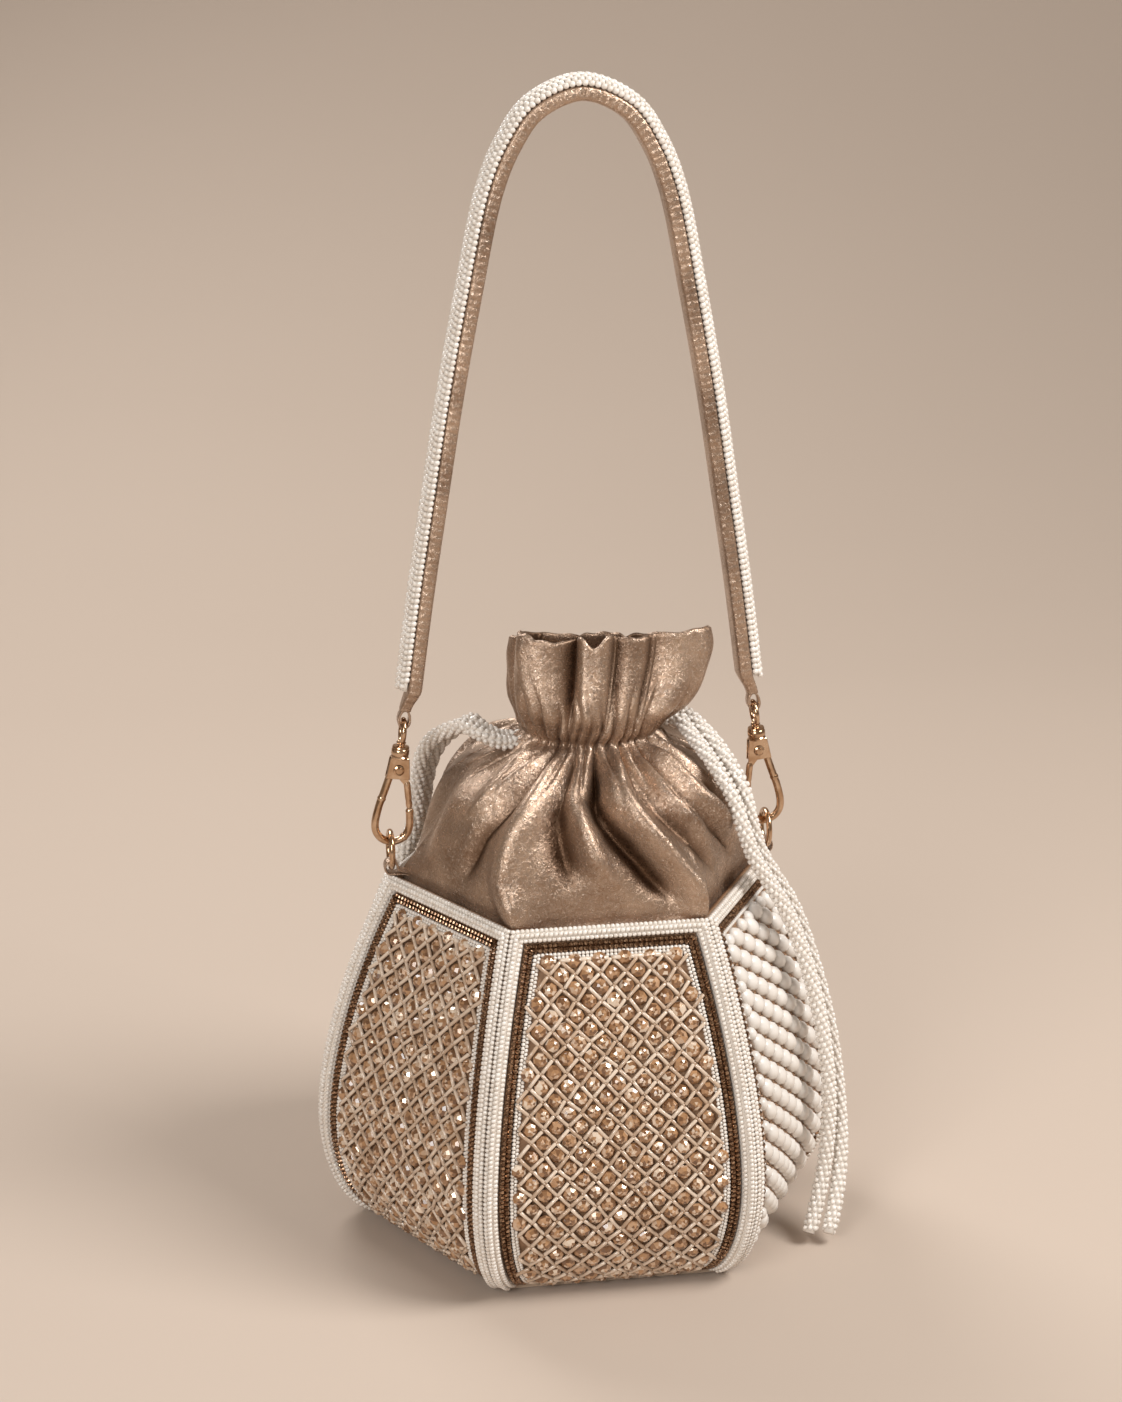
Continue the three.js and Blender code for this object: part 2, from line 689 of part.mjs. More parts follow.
// The gathered top, hollow down through the neck, with tunnels for both drawstrings.
function gatheredTop() {
  const rows = [...hemRows, ...TOP_OUTLINE];
  const outside = ringSolid(topRings(rows, TOP_COLUMNS, true, () => 0));
  const first = hemRows[0];
  const last = TOP_OUTLINE.at(-1);
  const below = [first[0] + 2, first[1] - 4, 1, 0];
  const above = [last[0], last[1] + 4, 0, 1];
  const insideRows = [below, ...rows, above];
  const wallAt = ([corner, z, , ruffled]) => {
    if (z <= RIM_HEIGHT + 2) {
      return HEM_THICKNESS / Math.cos(HALF_ANGLE);
    }
    if (z < NECK_HEIGHT - NECK_SPAN) {
      return WALL + 0.5;
    }
    const throat = corner - THROAT_RADIUS;
    return THREE.MathUtils.lerp(throat, RUFFLE_VALLEY + WALL, ruffled);
  };
  const inside = ringSolid(topRings(insideRows, INNER_COLUMNS, false, wallAt));
  const bore = ROPE_RADIUS + 4.5 * GAP;
  const reach = EXIT_REACH + EXIT_RUN;
  const tunnels = [
    tube(loopCurve(1, RIGHT_LOOP_HEIGHT, reach), bore, BORE_SIDES, LOOP_STEPS + 2),
    tube(loopCurve(-1, LEFT_LOOP_HEIGHT, reach), bore, BORE_SIDES, LOOP_STEPS + 2),
  ];
  return cut(outside, inside, ...tunnels, tabClearance(1), tabClearance(-1));
}
addPiece(bag, "gathered_top", gatheredTop(), finishes.foil);

for (const [word, side, height] of [["right", 1, RIGHT_LOOP_HEIGHT], ["left", -1, LEFT_LOOP_HEIGHT]]) {
  const loop = tube(loopCurve(side, height, EXIT_REACH), ROPE_RADIUS, ROPE_SIDES, LOOP_STEPS);
  addPiece(bag, "drawstring_loop_" + word, loop, finishes.pearl);
}

// The free strands run out of the neck side by side, over the rim and down past the belly.
// Each point of a route is x, y and z, then the direction from the inner strand to the outer one.
const SHOULDER_ROUTES = {
  right: [
    [34, -1.2, 176, 64],
    [38.5, -9, 172, 36],
    [42.8, -19, 166.6, 32],
    [48, -26.5, 157, 40],
    [51.2, -29, 145.5, 54],
  ],
  left: [
    [32, -0.5, 172.6, 84],
    [36.5, -5, 174.8, 58],
    [41, -12.5, 171, 36],
    [45.7, -21.5, 164.2, 32],
    [48.6, -28.5, 155, 42],
    [50, -31.5, 145, 54],
  ],
};
const FALL_ROUTES = {
  right: [
    [54.6, -29, 135.5, 58],
    [60, -28.4, 126, 60],
    [66, -27.5, 116, 60],
    [71, -27, 104, 60],
    [76.5, -28.5, 86, 60],
    [80.2, -31, 68, 56],
    [82.2, -34, 48, 48],
    [81.6, -38, 28, 24],
    [78.2, -44.4, 14.5, 2],
    [74, -50.4, 4.2, -12],
  ],
  left: [
    [50.6, -33.6, 135, 58],
    [52.6, -36, 126.5, 60],
    [56.6, -37, 117, 60],
    [61.4, -38, 105, 60],
    [67.8, -39.8, 86, 60],
    [71.8, -41.2, 68, 60],
    [73.8, -42.2, 48, 56],
    [73.4, -44.6, 28, 40],
    [71.6, -48, 14.5, 20],
    [69.4, -51.4, 4.2, 0],
  ],
};

function strandCurve(word, which) {
  const side = word === "right" ? 1 : -1;
  const height = word === "right" ? RIGHT_LOOP_HEIGHT : LEFT_LOOP_HEIGHT;
  const exits = [0, 4, 8].map((run) => {
    const x = EXIT_REACH + GAP + run;
    return new THREE.Vector3(lean(NECK_HEIGHT) + side * x, side * which * EXIT_SPREAD, height);
  });
  const rest = [...SHOULDER_ROUTES[word], ...FALL_ROUTES[word]].map(([x, y, z, degrees]) => {
    const turn = THREE.MathUtils.degToRad(degrees);
    const apart = which * (ROPE_RADIUS + 1.5 * GAP);
    const place = new THREE.Vector3(x + apart * Math.cos(turn), y + apart * Math.sin(turn), z);
    return new THREE.Vector3(side * place.x, side * place.y, place.z);
  });
  return new THREE.CatmullRomCurve3([...exits, ...rest]);
}

for (const word of ["right", "left"]) {
  for (const [place, which] of [["inner", -1], ["outer", 1]]) {
    const strand = tube(strandCurve(word, which), ROPE_RADIUS, ROPE_SIDES, STRAND_STEPS);
    addPiece(bag, "drawstring_" + word + "_" + place, strand, finishes.pearl);
  }
}

// A round wire ring in the plane of y and z.
function wireRing(radius, wire, sides, steps) {
  const ring = new THREE.TorusGeometry(radius, wire, sides, steps);
  ring.rotateY(Math.PI / 2);
  return tidyGeometry(ring);
}

// The hook's wire: down the outer side, round the bottom and up to the nose.
function hookWire() {
  const points = [new THREE.Vector3(2.6, 0, PLATE_LOW + 0.8)];
  points.push(new THREE.Vector3(3.9, 0, 17.5), new THREE.Vector3(5.2, 0, NOSE_HEIGHT));
  for (const degrees of [0, -30, -60, -90, -120, -150, -180]) {
    const turn = THREE.MathUtils.degToRad(degrees);
    const x = HOOK_HALF_WIDTH * Math.cos(turn);
    points.push(new THREE.Vector3(x, 0, HOOK_HALF_WIDTH * (1 + Math.sin(turn))));
  }
  points.push(new THREE.Vector3(-5.2, 0, NOSE_HEIGHT));
  return tube(new THREE.CatmullRomCurve3(points), HOOK_WIRE, 8, 15);
}

function cheekOutline() {
  const shape = new THREE.Shape();
  shape.moveTo(-PLATE_HALF_LOW, PLATE_LOW);
  shape.lineTo(PLATE_HALF_LOW, PLATE_LOW);
  shape.lineTo(PLATE_HALF_TOP, PLATE_HIGH + 0.6);
  shape.lineTo(-PLATE_HALF_TOP, PLATE_HIGH + 0.6);
  return shape;
}

function barrel(radius, low, high, segments) {
  return turned([[0, low], [radius, low], [radius, high], [0, high]], segments);
}

// Two cheeks, the wire and the swivel block, cut for the rivet and the eye's stem.
function hookFrame() {
  const cheekMiddle = TONGUE / 2 + GAP + CHEEK / 2;
  const cheeks = [-1, 1].map((way) =>
    plate(cheekOutline(), CHEEK).translate(0, way * cheekMiddle, 0),
  );
  const block = barrel(BLOCK_RADIUS, PLATE_HIGH, BLOCK_HIGH, 12);
  const rivetHole = barrel(RIVET_RADIUS + GAP, -4, 4, 10);
  rivetHole.rotateX(Math.PI / 2);
  rivetHole.translate(0, 0, RIVET_HEIGHT);
  const neckBore = barrel(STEM_RADIUS + GAP, BLOCK_HIGH - 2, BLOCK_HIGH + 1, 10);
  const chamber = barrel(HEAD_RADIUS + GAP, PLATE_HIGH + 1, BLOCK_HIGH - 1.5, 10);
  return cut(join(hookWire(), ...cheeks, block), rivetHole, neckBore, chamber);
}

// The swivel eye: a headed stem in the block under a round eye for the strap.
function swivelEye() {
  const eye = wireRing(EYE_RADIUS, EYE_WIRE, 6, 14).translate(0, 0, EYE_MIDDLE);
  const headLow = PLATE_HIGH + 1 + GAP;
  const headHigh = BLOCK_HIGH - 1.5 - GAP;
  const stem = turned(
    [
      [0, headLow],
      [HEAD_RADIUS, headLow],
      [HEAD_RADIUS, headHigh],
      [STEM_RADIUS, headHigh],
      [STEM_RADIUS, EYE_MIDDLE - EYE_RADIUS],
      [0, EYE_MIDDLE - EYE_RADIUS],
    ],
    10,
  );
  return join(stem, eye);
}

// The gate: a bar from the rivet's tongue down to the nose.
function hookGate() {
  const low = new THREE.Vector3(-5.1, 0, NOSE_HEIGHT + 0.4);
  const high = new THREE.Vector3(-3.3, 0, PLATE_LOW - 1.2);
  const bar = tube(new THREE.LineCurve3(low, high), HOOK_WIRE - 0.15, 8, 1);
  const tongue = new THREE.Shape();
  tongue.moveTo(-4.2, PLATE_LOW - 2.2);
  tongue.lineTo(-2.4, PLATE_LOW - 2.2);
  tongue.lineTo(2, RIVET_HEIGHT - 0.8);
  tongue.lineTo(2, RIVET_HEIGHT + 1);
  tongue.lineTo(1, RIVET_HEIGHT + 2);
  tongue.lineTo(-1.2, RIVET_HEIGHT + 2);
  tongue.lineTo(-2.6, RIVET_HEIGHT + 0.8);
  const hole = barrel(RIVET_RADIUS + GAP, -4, 4, 10);
  hole.rotateX(Math.PI / 2);
  hole.translate(0, 0, RIVET_HEIGHT);
  return cut(join(bar, plate(tongue, TONGUE)), hole);
}

// The rivet: a pin through the cheeks and the tongue, with a domed head on each side.
function gateRivet() {
  const inside = TONGUE / 2 + GAP + CHEEK + GAP;
  const rivet = turned(
    [
      [0, -inside - 0.8],
      [1.2, -inside - 0.6],
      [1.8, -inside],
      [RIVET_RADIUS, -inside],
      [RIVET_RADIUS, inside],
      [1.8, inside],
      [1.2, inside + 0.6],
      [0, inside + 0.8],
    ],
    10,
  );
  rivet.rotateX(Math.PI / 2);
  rivet.translate(0, 0, RIVET_HEIGHT);
  return rivet;
}

// Each side's hardware stands outwards along +X; the left side is the right one turned half round.
for (const [word, half] of [["right", 0], ["left", Math.PI]]) {
  const hardware = new THREE.Group();
  hardware.rotation.z = half;
  addPiece(hardware, "ring_tab_" + word, ringTab(), finishes.foil);
  const ring = wireRing(RING_RADIUS, RING_WIRE, 6, 18);
  ring.translate(RING_OFFSET, 0, RING_HEIGHT);
  addPiece(hardware, "ring_" + word, ring, finishes.gold);
  const hook = new THREE.Group();
  hook.position.set(RING_OFFSET, 0, RING_HEIGHT + HOOK_SEAT);
  hook.rotation.y = -HOOK_LEAN;
  addPiece(hook, "hook_" + word, hookFrame(), finishes.gold);
  addPiece(hook, "hook_gate_" + word, hookGate(), finishes.gold);
  addPiece(hook, "gate_rivet_" + word, gateRivet(), finishes.gold);
  addPiece(hook, "swivel_eye_" + word, swivelEye(), finishes.gold);
  hardware.add(hook);
  bag.add(hardware);
}

// The strap's middle line: from one eye's top wire over the arch to the other, in x and z.
const eyeTop = EYE_MIDDLE + EYE_RADIUS;
const pivotX = RING_OFFSET - eyeTop * Math.sin(HOOK_LEAN);
const pivotZ = RING_HEIGHT + HOOK_SEAT + eyeTop * Math.cos(HOOK_LEAN);
const STRAP_ROUTE = [[1, 0], [0.905, 0.2], [0.815, 0.365], [0.725, 0.525], [0.62, 0.685]];
const STRAP_ARCH = [[0.5, 0.845], [0.4, 0.915], [0.26, 0.97], [0, 1]];

function strapCurve() {
  const rise = STRAP_TOP - pivotZ;
  const half = [...STRAP_ROUTE, ...STRAP_ARCH].map(([w, h]) => [w * pivotX, pivotZ + h * rise]);
  const other = half.slice(0, -1).map(([x, z]) => [-x, z]).reverse();
  const points = [...half, ...other].map(([x, z]) => new THREE.Vector3(x, 0, z));
  return new THREE.CatmullRomCurve3(points);
}
const strapLine = strapCurve();
const strapLength = strapLine.getLength();

// One ring of the strap's section: out and side pairs, laid square to the middle line.
function strapRing(length, section) {
  const u = length / strapLength;
  const point = strapLine.getPointAt(u);
  const along = strapLine.getTangentAt(u);
  const outward = new THREE.Vector3(along.z, 0, -along.x);
  return section.map(
    ([out, side]) =>
      new THREE.Vector3(point.x + out * outward.x, side, point.z + out * outward.z),
  );
}

const strapInside = -(STRAP_CLOTH + GAP + STRAP_BEADS) / 2;
const strapSeam = strapInside + STRAP_CLOTH;

function strapCloth(length) {
  const nearest = Math.min(length, strapLength - length);
  const share = THREE.MathUtils.smoothstep(nearest, 3.4, STRAP_TAPER);
  const side = THREE.MathUtils.lerp(STRAP_LOOP_WIDTH / 2, STRAP_WIDTH / 2, share);
  const low = THREE.MathUtils.lerp(-1.9, strapInside, share);
  const high = THREE.MathUtils.lerp(1.9, strapSeam, share);
  const round = 0.9;
  return strapRing(length, [
    [high, -side],
    [high, side],
    [low + round, side],
    [low, side - round],
    [low, -side + round],
    [low + round, -side],
  ]);
}

function strapStations(first, last) {
  const ends = [0, 0.012, 0.025];
  const middle = Array.from({ length: STRAP_STATIONS + 1 }, (_, k) =>
    THREE.MathUtils.lerp(0.04, 0.96, k / STRAP_STATIONS),
  );
  const shares = [...ends, ...middle, ...ends.map((e) => 1 - e).reverse()];
  return shares.map((share) => THREE.MathUtils.lerp(first, last, share));
}

// The loop of cloth round the eye's top wire, drawn upright and turned into line with the hook.
function strapLoop() {
  const sag = EYE_RADIUS - Math.sqrt(EYE_RADIUS ** 2 - (STRAP_LOOP_WIDTH / 2) ** 2);
  const slotHalf = EYE_WIRE + GAP + 0.1;
  const slotLow = -sag - EYE_WIRE - GAP;
  const slotHigh = EYE_WIRE + GAP;
  const half = slotHalf + STRAP_LOOP_WALL;
  const shape = new THREE.Shape();
  shape.moveTo(-half + 0.8, slotLow - STRAP_LOOP_WALL);
  shape.lineTo(half - 0.8, slotLow - STRAP_LOOP_WALL);
  shape.lineTo(half, slotLow + 0.4);
  shape.lineTo(half, slotHigh + 1.2);
  shape.lineTo(1.6, 4.2);
  shape.lineTo(-1.6, 4.2);
  shape.lineTo(-half, slotHigh + 1.2);
  shape.lineTo(-half, slotLow + 0.4);
  const slot = new THREE.Path();
  slot.moveTo(-slotHalf, slotLow);
  slot.lineTo(slotHalf, slotLow);
  slot.lineTo(slotHalf, slotHigh);
  slot.lineTo(-slotHalf, slotHigh);
  shape.holes.push(slot);
  const loop = plate(shape, STRAP_LOOP_WIDTH - 0.2);
  loop.rotateY(-HOOK_LEAN);
  loop.translate(pivotX, 0, pivotZ);
  return loop;
}

const clothRings = strapStations(3.4, strapLength - 3.4).map(strapCloth);
const leftLoop = strapLoop().rotateZ(Math.PI);
addPiece(bag, "strap_cloth", join(ringSolid(clothRings), strapLoop(), leftLoop), finishes.foil);

const beadSide = STRAP_WIDTH / 2 - 0.2;
const beadLow = strapSeam + GAP;
const beadSection = [
  [beadLow, -beadSide],
  [beadLow, beadSide],
  [beadLow + 0.55 * STRAP_BEADS, 0.92 * beadSide],
  [beadLow + STRAP_BEADS, 0.4 * beadSide],
  [beadLow + STRAP_BEADS, -0.4 * beadSide],
  [beadLow + 0.55 * STRAP_BEADS, -0.92 * beadSide],
];
const beadRings = strapStations(STRAP_TAPER, strapLength - STRAP_TAPER).map((length) =>
  strapRing(length, beadSection),
);
addPiece(bag, "strap_beads", ringSolid(beadRings), finishes.pearl);

export default bag;
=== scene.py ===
import math

import bpy
import numpy as np
from mathutils import Euler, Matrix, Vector


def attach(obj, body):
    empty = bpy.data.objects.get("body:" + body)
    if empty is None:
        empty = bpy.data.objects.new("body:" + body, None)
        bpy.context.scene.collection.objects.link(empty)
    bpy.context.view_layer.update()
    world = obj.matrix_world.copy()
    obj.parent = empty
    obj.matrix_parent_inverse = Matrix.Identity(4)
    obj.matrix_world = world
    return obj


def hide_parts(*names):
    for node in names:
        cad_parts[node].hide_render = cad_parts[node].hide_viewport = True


bl_info = {
    "name": "Beaded potli bag",
    "version": (1, 0, 0),
    "blender": (4, 5, 0),
    "location": "View3D > Sidebar > Potli",
    "description": "Dresses the potli bag's frame in foil cloth, beads, ropes and gold hardware",
    "category": "Object",
}

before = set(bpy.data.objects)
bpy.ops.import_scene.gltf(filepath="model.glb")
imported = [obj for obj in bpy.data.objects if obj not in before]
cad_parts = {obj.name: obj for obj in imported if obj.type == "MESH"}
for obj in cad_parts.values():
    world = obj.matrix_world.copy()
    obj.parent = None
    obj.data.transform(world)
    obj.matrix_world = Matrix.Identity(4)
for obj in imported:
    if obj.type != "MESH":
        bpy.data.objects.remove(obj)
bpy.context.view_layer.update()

# Lengths below are in millimetres, and a mesh gets them in metres.
MM = 0.001
# The direction across the strap, whose arch lies in the plane of x and z
SIDEWAYS = np.array([0.0, 1.0, 0.0])
HALF_ANGLE = math.pi / 6
RIM_HEIGHT = 124.0
RIM_RADIUS = 63.0
BELLY_HEIGHT = 38.0
BELLY_RADIUS = 88.7
FOOT_RADIUS = 70.0
FOOT_LIFT = 3.0
FOOT_ANGLE = math.radians(80)
TAPER = 1.7
CLOTH = 1.6
EDGE = 0.15
FIELD_EDGE = 9.9
NET_WIDTH = 8.2
NET_HEIGHT = 9.0
PEARL_PITCH = 8.4
PEARL_ROW = 6.7
PEARL_TILT = math.radians(-35)
PANELS = {
    "back_right": (30, "net"),
    "back": (90, "net"),
    "back_left": (150, "pearls"),
    "front_left": (210, "net"),
    "front": (270, "net"),
    "front_right": (330, "pearls"),
}

# Sizes of the beads: along the row, across it and out of the cloth, and their steps in a row
PIPING_SEED, PIPING_PITCH = (1.62, 1.7, 1.7), 1.5
FINE_SEED, FINE_PITCH = (1.35, 1.4, 1.4), 1.3
INNER_SEED = (1.3, 1.3, 1.3)
CROSSING_SEED = (1.25, 1.3, 1.3)
BRONZE_BEAD, BRONZE_PITCH = (1.75, 1.75, 1.6), 1.62
LARGE_BRONZE, LARGE_PITCH = (2.5, 2.5, 2.3), 2.7
BUGLE_GAP, BUGLE_WIDTH, BUGLE_DEPTH = 0.8, 1.4, 1.5
TOP_BUGLE, TOP_PITCH = (4.4, 1.6, 1.6), 5.6
STONE_SIZE = (5.3, 5.3, 3.5)
PEARL_SIZE = (8.5, 6.3, 5.2)
END_PEARL_SIZE = (4.8, 4.6, 4.2)
STITCH_SIZE, STITCH_PITCH = (2.3, 0.8, 0.8), 2.7
ROPE_SEED, ROPE_PITCH = (1.95, 1.85, 1.8), 0.33
STRAP_SEED, STRAP_PITCH = (2.1, 2.15, 2.1), 1.95

NECK_HEIGHT = 173.0
NECK_SPAN = 7.0
NECK_SHIFT, LIP_SHIFT = 3.0, 5.0
HEM_INSET = 2.35
THROAT_RADIUS = 7.0
TOP_OUTLINE = [
    (60.4, 126, 1, 0),
    (60, 131, 0.95, 0),
    (58.4, 138.5, 0.8, 0),
    (55.4, 147, 0.6, 0),
    (50.5, 155, 0.4, 0),
    (42.5, 161.5, 0.22, 0),
    (33, 166, 0.08, 0),
    (26.5, 169, 0, 0),
    (24, 173, 0, 0),
    (24, 178, 0, 0.1),
    (27, 184, 0, 0.6),
    (29.6, 192, 0, 0.95),
    (31.4, 201, 0, 1),
    (31, 206.5, 0, 0.9),
]
# Ridges of the shoulder: height and angle pairs from the neck down, then rise and half width
SHOULDER_RIDGES = [
    ([(166, 206), (160, 199), (152, 192), (138, 189)], 2.6, 4.5),
    ([(168, 216), (155, 205), (131, 187)], 3.6, 5),
    ([(171, 227), (162, 217), (150, 201), (140, 195)], 4, 5),
    ([(171, 241), (163, 239), (150, 234), (137, 233), (124, 240)], 5.6, 5.5),
    ([(169, 257), (163, 253), (154, 260), (138, 268)], 4.6, 4.4),
    ([(170, 277), (163, 272), (149, 286), (136, 296), (124, 300)], 6.4, 5.4),
    ([(168, 294), (160, 295), (151, 306)], 3.8, 4.2),
    ([(169, 310), (158, 313), (149, 322), (140, 336)], 4.2, 4.4),
    ([(168, 330), (156, 338), (132, 350)], 3.4, 5),
]
# Creases of the shoulder between the ridges: height and angle pairs, then depth and half width
SHOULDER_CREASES = [
    ([(169, 249), (161, 247), (153, 249), (139, 255)], 5.2, 5),
    ([(169, 265), (162, 263), (152, 272), (141, 284), (129, 294)], 6.4, 5.6),
    ([(169, 233), (160, 228), (148, 219), (134, 214)], 3.4, 3.6),
    ([(168, 286), (158, 291), (147, 301), (136, 312)], 3.4, 3.4),
    ([(169, 302), (160, 305), (150, 315), (136, 332)], 3.4, 3.2),
    ([(169, 221), (158, 210), (146, 199)], 2.6, 3),
    ([(168, 320), (158, 327), (142, 344)], 2.8, 3.2),
]
HOOK_DIP = 7.5
HOOK_DIP_WIDTH = 8.0
# Lobes of the ruffle: middle angle, half width in degrees, and how far it stands out
RUFFLE_LOBES = [
    (214, 28, 3.8),
    (257, 15, 3),
    (285, 15, -0.5),
    (325, 27, 8.5),
    (8, 18, 2),
    (45, 20, 2.6),
    (84, 20, 1.6),
    (122, 20, 2.6),
    (163, 22, 1.2),
]
RUFFLE_VALLEY = 9.0
# Lifts and dips of the ruffle's lip: middle angle, half width in degrees, and height
LIP_LIFTS = [
    (202, 16, 2.4), (234, 14, -1.4), (250, 6, 1.6), (257, 5, -3.6), (265, 5, 1.4), (326, 24, 4.2),
]
LIP_HEIGHT = 206.5
LIP_SLANT = 5.0
LIP_SLANTS_TO = 255
# Angles of the tucks where the neck is drawn in
NECK_TUCKS = [
    4, 17, 30, 43, 56, 68, 80, 92, 105, 118, 131, 144, 156, 169, 182,
    196, 211, 221, 233, 242, 249, 257, 265, 275, 286, 294, 302, 318, 336, 350,
]

ROPE_RADIUS = 2.8
EXIT_SPREAD = 3.3
EXIT_REACH = 19.8
ROPE_GAP = 0.45
ROPE_CORE = 1.85
ROPE_BEADS_OUT = 1.95
ROPE_LEAN = 0.45
BEADS_A_TURN = 6.35
LOOP_HEIGHTS = {"right": 176.2, "left": 169.8}
# Routes of the rope pairs: x, y, z and the direction from the inner rope to the outer one
ROPE_ROUTES = {
    "right": [
        (34, -1.2, 176, 64),
        (38.5, -9, 172, 36),
        (42.8, -19, 166.6, 32),
        (48, -26.5, 157, 40),
        (51.2, -29, 145.5, 54),
        (54.6, -29, 135.5, 58),
        (60, -28.4, 126, 60),
        (66, -27.5, 116, 60),
        (71, -27, 104, 60),
        (76.5, -28.5, 86, 60),
        (80.2, -31, 68, 56),
        (82.2, -34, 48, 48),
        (81.6, -38, 28, 24),
        (78.2, -44.4, 14.5, 2),
        (74, -50.4, 4.2, -12),
    ],
    "left": [
        (32, -0.5, 172.6, 84),
        (36.5, -5, 174.8, 58),
        (41, -12.5, 171, 36),
        (45.7, -21.5, 164.2, 32),
        (48.6, -28.5, 155, 42),
        (50, -31.5, 145, 54),
        (50.6, -33.6, 135, 58),
        (52.6, -36, 126.5, 60),
        (56.6, -37, 117, 60),
        (61.4, -38, 105, 60),
        (67.8, -39.8, 86, 60),
        (71.8, -41.2, 68, 60),
        (73.8, -42.2, 48, 56),
        (73.4, -44.6, 28, 40),
        (71.6, -48, 14.5, 20),
        (69.4, -51.4, 4.2, 0),
    ],
}

RING_OFFSET = 64.5
RING_HEIGHT = 133.6
RING_RADIUS = 6.0
RING_WIRE = 1.0
WIRE_SIDES = 14
HOOK_LEAN = math.radians(7)
HOOK_SEAT = 2.8
HOOK_WIRE = 1.3
HOOK_BEND = 5.8
EYE_MIDDLE = 39.0
EYE_RADIUS = 3.8
EYE_WIRE = 0.9
RIVET_HEIGHT = 25.7
PIVOT_X = 59.284
PIVOT_Z = 178.881
STRAP_TOP = 384.0
STRAP_ROWS = 7
STRAP_GAP = 3.2
STRAP_TAPER = 12.0
STRAP_BEADS_FROM = 9.6
STRAP_ROUTE = [
    (1, 0), (0.905, 0.2), (0.815, 0.365), (0.725, 0.525), (0.62, 0.685),
    (0.5, 0.845), (0.4, 0.915), (0.26, 0.97), (0, 1),
]

# The camera's place in metres, and how far it looks down and to the side in degrees
CAMERA_PLACE = (-0.15667, -0.88626, 0.46772)
CAMERA_PITCH, CAMERA_TURN = 17.594, 9.617
# The floor: how far it reaches, where it starts to bend, its bend, its height and its wall's
FLOOR_REACH, FLOOR_DEPTH, FLOOR_BEND, FLOOR_LEVEL, WALL_HEIGHT = 9000, 600, 1000, -0.2, 4000


class Wire:
    """A socket of a material: sums and products with it add Math nodes."""

    def __init__(self, paint, socket):
        self.paint = paint
        self.socket = socket

    def math(self, operation, *values):
        return self.paint.node("ShaderNodeMath", {"operation": operation}, dict(enumerate(values)))

    def __add__(self, other):
        return self.math("ADD", self, other)

    def __sub__(self, other):
        return self.math("SUBTRACT", self, other)

    def __rsub__(self, other):
        return self.math("SUBTRACT", other, self)

    def __mul__(self, other):
        return self.math("MULTIPLY", self, other)

    __radd__ = __add__
    __rmul__ = __mul__

    def between(self, low, high):
        """0 below low, 1 above high, and a smooth step from one to the other."""
        settings = {"interpolation_type": "SMOOTHSTEP"}
        return self.paint.node("ShaderNodeMapRange", settings, {0: self, 1: low, 2: high})


class Paint:
    """A material under construction: its tree, its shader and its Object coordinates."""

    def __init__(self, name):
        self.material = bpy.data.materials.new(name)
        self.material.use_nodes = True
        self.tree = self.material.node_tree
        self.shader = self.tree.nodes["Principled BSDF"]
        self.place = self.node("ShaderNodeTexCoord", {}, {}, "Object")

    def node(self, kind, settings, values, output=0):
        """Any other node: its settings first, then the values or links of its sockets."""
        made = self.tree.nodes.new(kind)
        for key, value in settings.items():
            setattr(made, key, value)
        for key, value in values.items():
            self.feed(made.inputs[key], value)
        return Wire(self, made.outputs[output])

    def feed(self, socket, value):
        if isinstance(value, Wire):
            self.tree.links.new(value.socket, socket)
        elif socket.type == "RGBA":
            socket.default_value = (*value[:3], 1)
        else:
            socket.default_value = value

    def mix(self, factor, first, second):
        """A colour between two colours, by the factor."""
        values = {0: factor, 6: first, 7: second}
        return self.node("ShaderNodeMix", {"data_type": "RGBA"}, values, 2)

    def noise(self, scale, detail=2.0, rough=0.5, where=None, distortion=0.0):
        """Cloudy noise from 0 to 1, at so many cells in a metre."""
        values = {
            "Vector": where or self.place, "Scale": scale, "Detail": detail,
            "Roughness": rough, "Distortion": distortion,
        }
        return self.node("ShaderNodeTexNoise", {}, values)

    def tone(self):
        """The piece's own tone, a number on each of its points or faces."""
        return self.node("ShaderNodeAttribute", {"attribute_name": "tone"}, {}, "Fac")

    def bump(self, height, strength, distance):
        values = {"Height": height, "Strength": strength, "Distance": distance}
        return self.node("ShaderNodeBump", {}, values)

    def finish(self, **sockets):
        """Sets or links the shader's sockets, an underscore standing for a space."""
        for key, value in sockets.items():
            self.feed(self.shader.inputs[key.replace("_", " ")], value)
        return self.material


def foil_cloth(paint, colours):
    """Crackled foil on cloth: a rumpled metal film, split in fine flakes with dull gaps, with
    painted shade in the creases and painted highlights on the ridges, both carried by the piece's
    tone."""
    broad = paint.noise(48, 3)
    shade = paint.noise(900, 3, 0.6)
    crackle = paint.noise(620, 4, 0.7, distortion=1.6)
    gap = crackle.between(0.4, 0.52)
    rumple = paint.noise(260, 4, 0.6, distortion=0.6)
    # Painted glints: fine specks of pale colour, shown on the ridges.
    glint = paint.noise(1300, 3, 0.7).between(0.57, 0.68)
    # The tone of the foil top is painted light: low in its creases and on its inner face, high on
    # its ridges.
    painted_fold_light = paint.tone()
    deep = paint.mix(broad.between(0.3, 0.7), colours.foil_deep, colours.foil)
    # Painted shade: where the tone is low, the colour turns to the crease colour.
    deep = paint.mix(painted_fold_light.between(0.0, 0.55), colours.foil_crease_shade, deep)
    # Painted highlight: pale flecks and glints, where the tone is high on the ridges.
    pale = (shade * 0.35 + 0.65 * glint) * painted_fold_light.between(0.1, 0.6)
    light = paint.mix(pale, deep, colours.foil_highlight)
    colour = paint.mix(gap * 0.8, deep, light)
    rough = 0.27 - 0.06 * gap + 0.14 * (1 - shade) - 0.1 * glint
    normal = paint.bump(rumple + 0.9 * crackle, 0.5, 0.0006)
    metal = 0.68 + 0.25 * gap * shade
    return paint.finish(Base_Color=colour, Roughness=rough, Metallic=metal, Normal=normal)


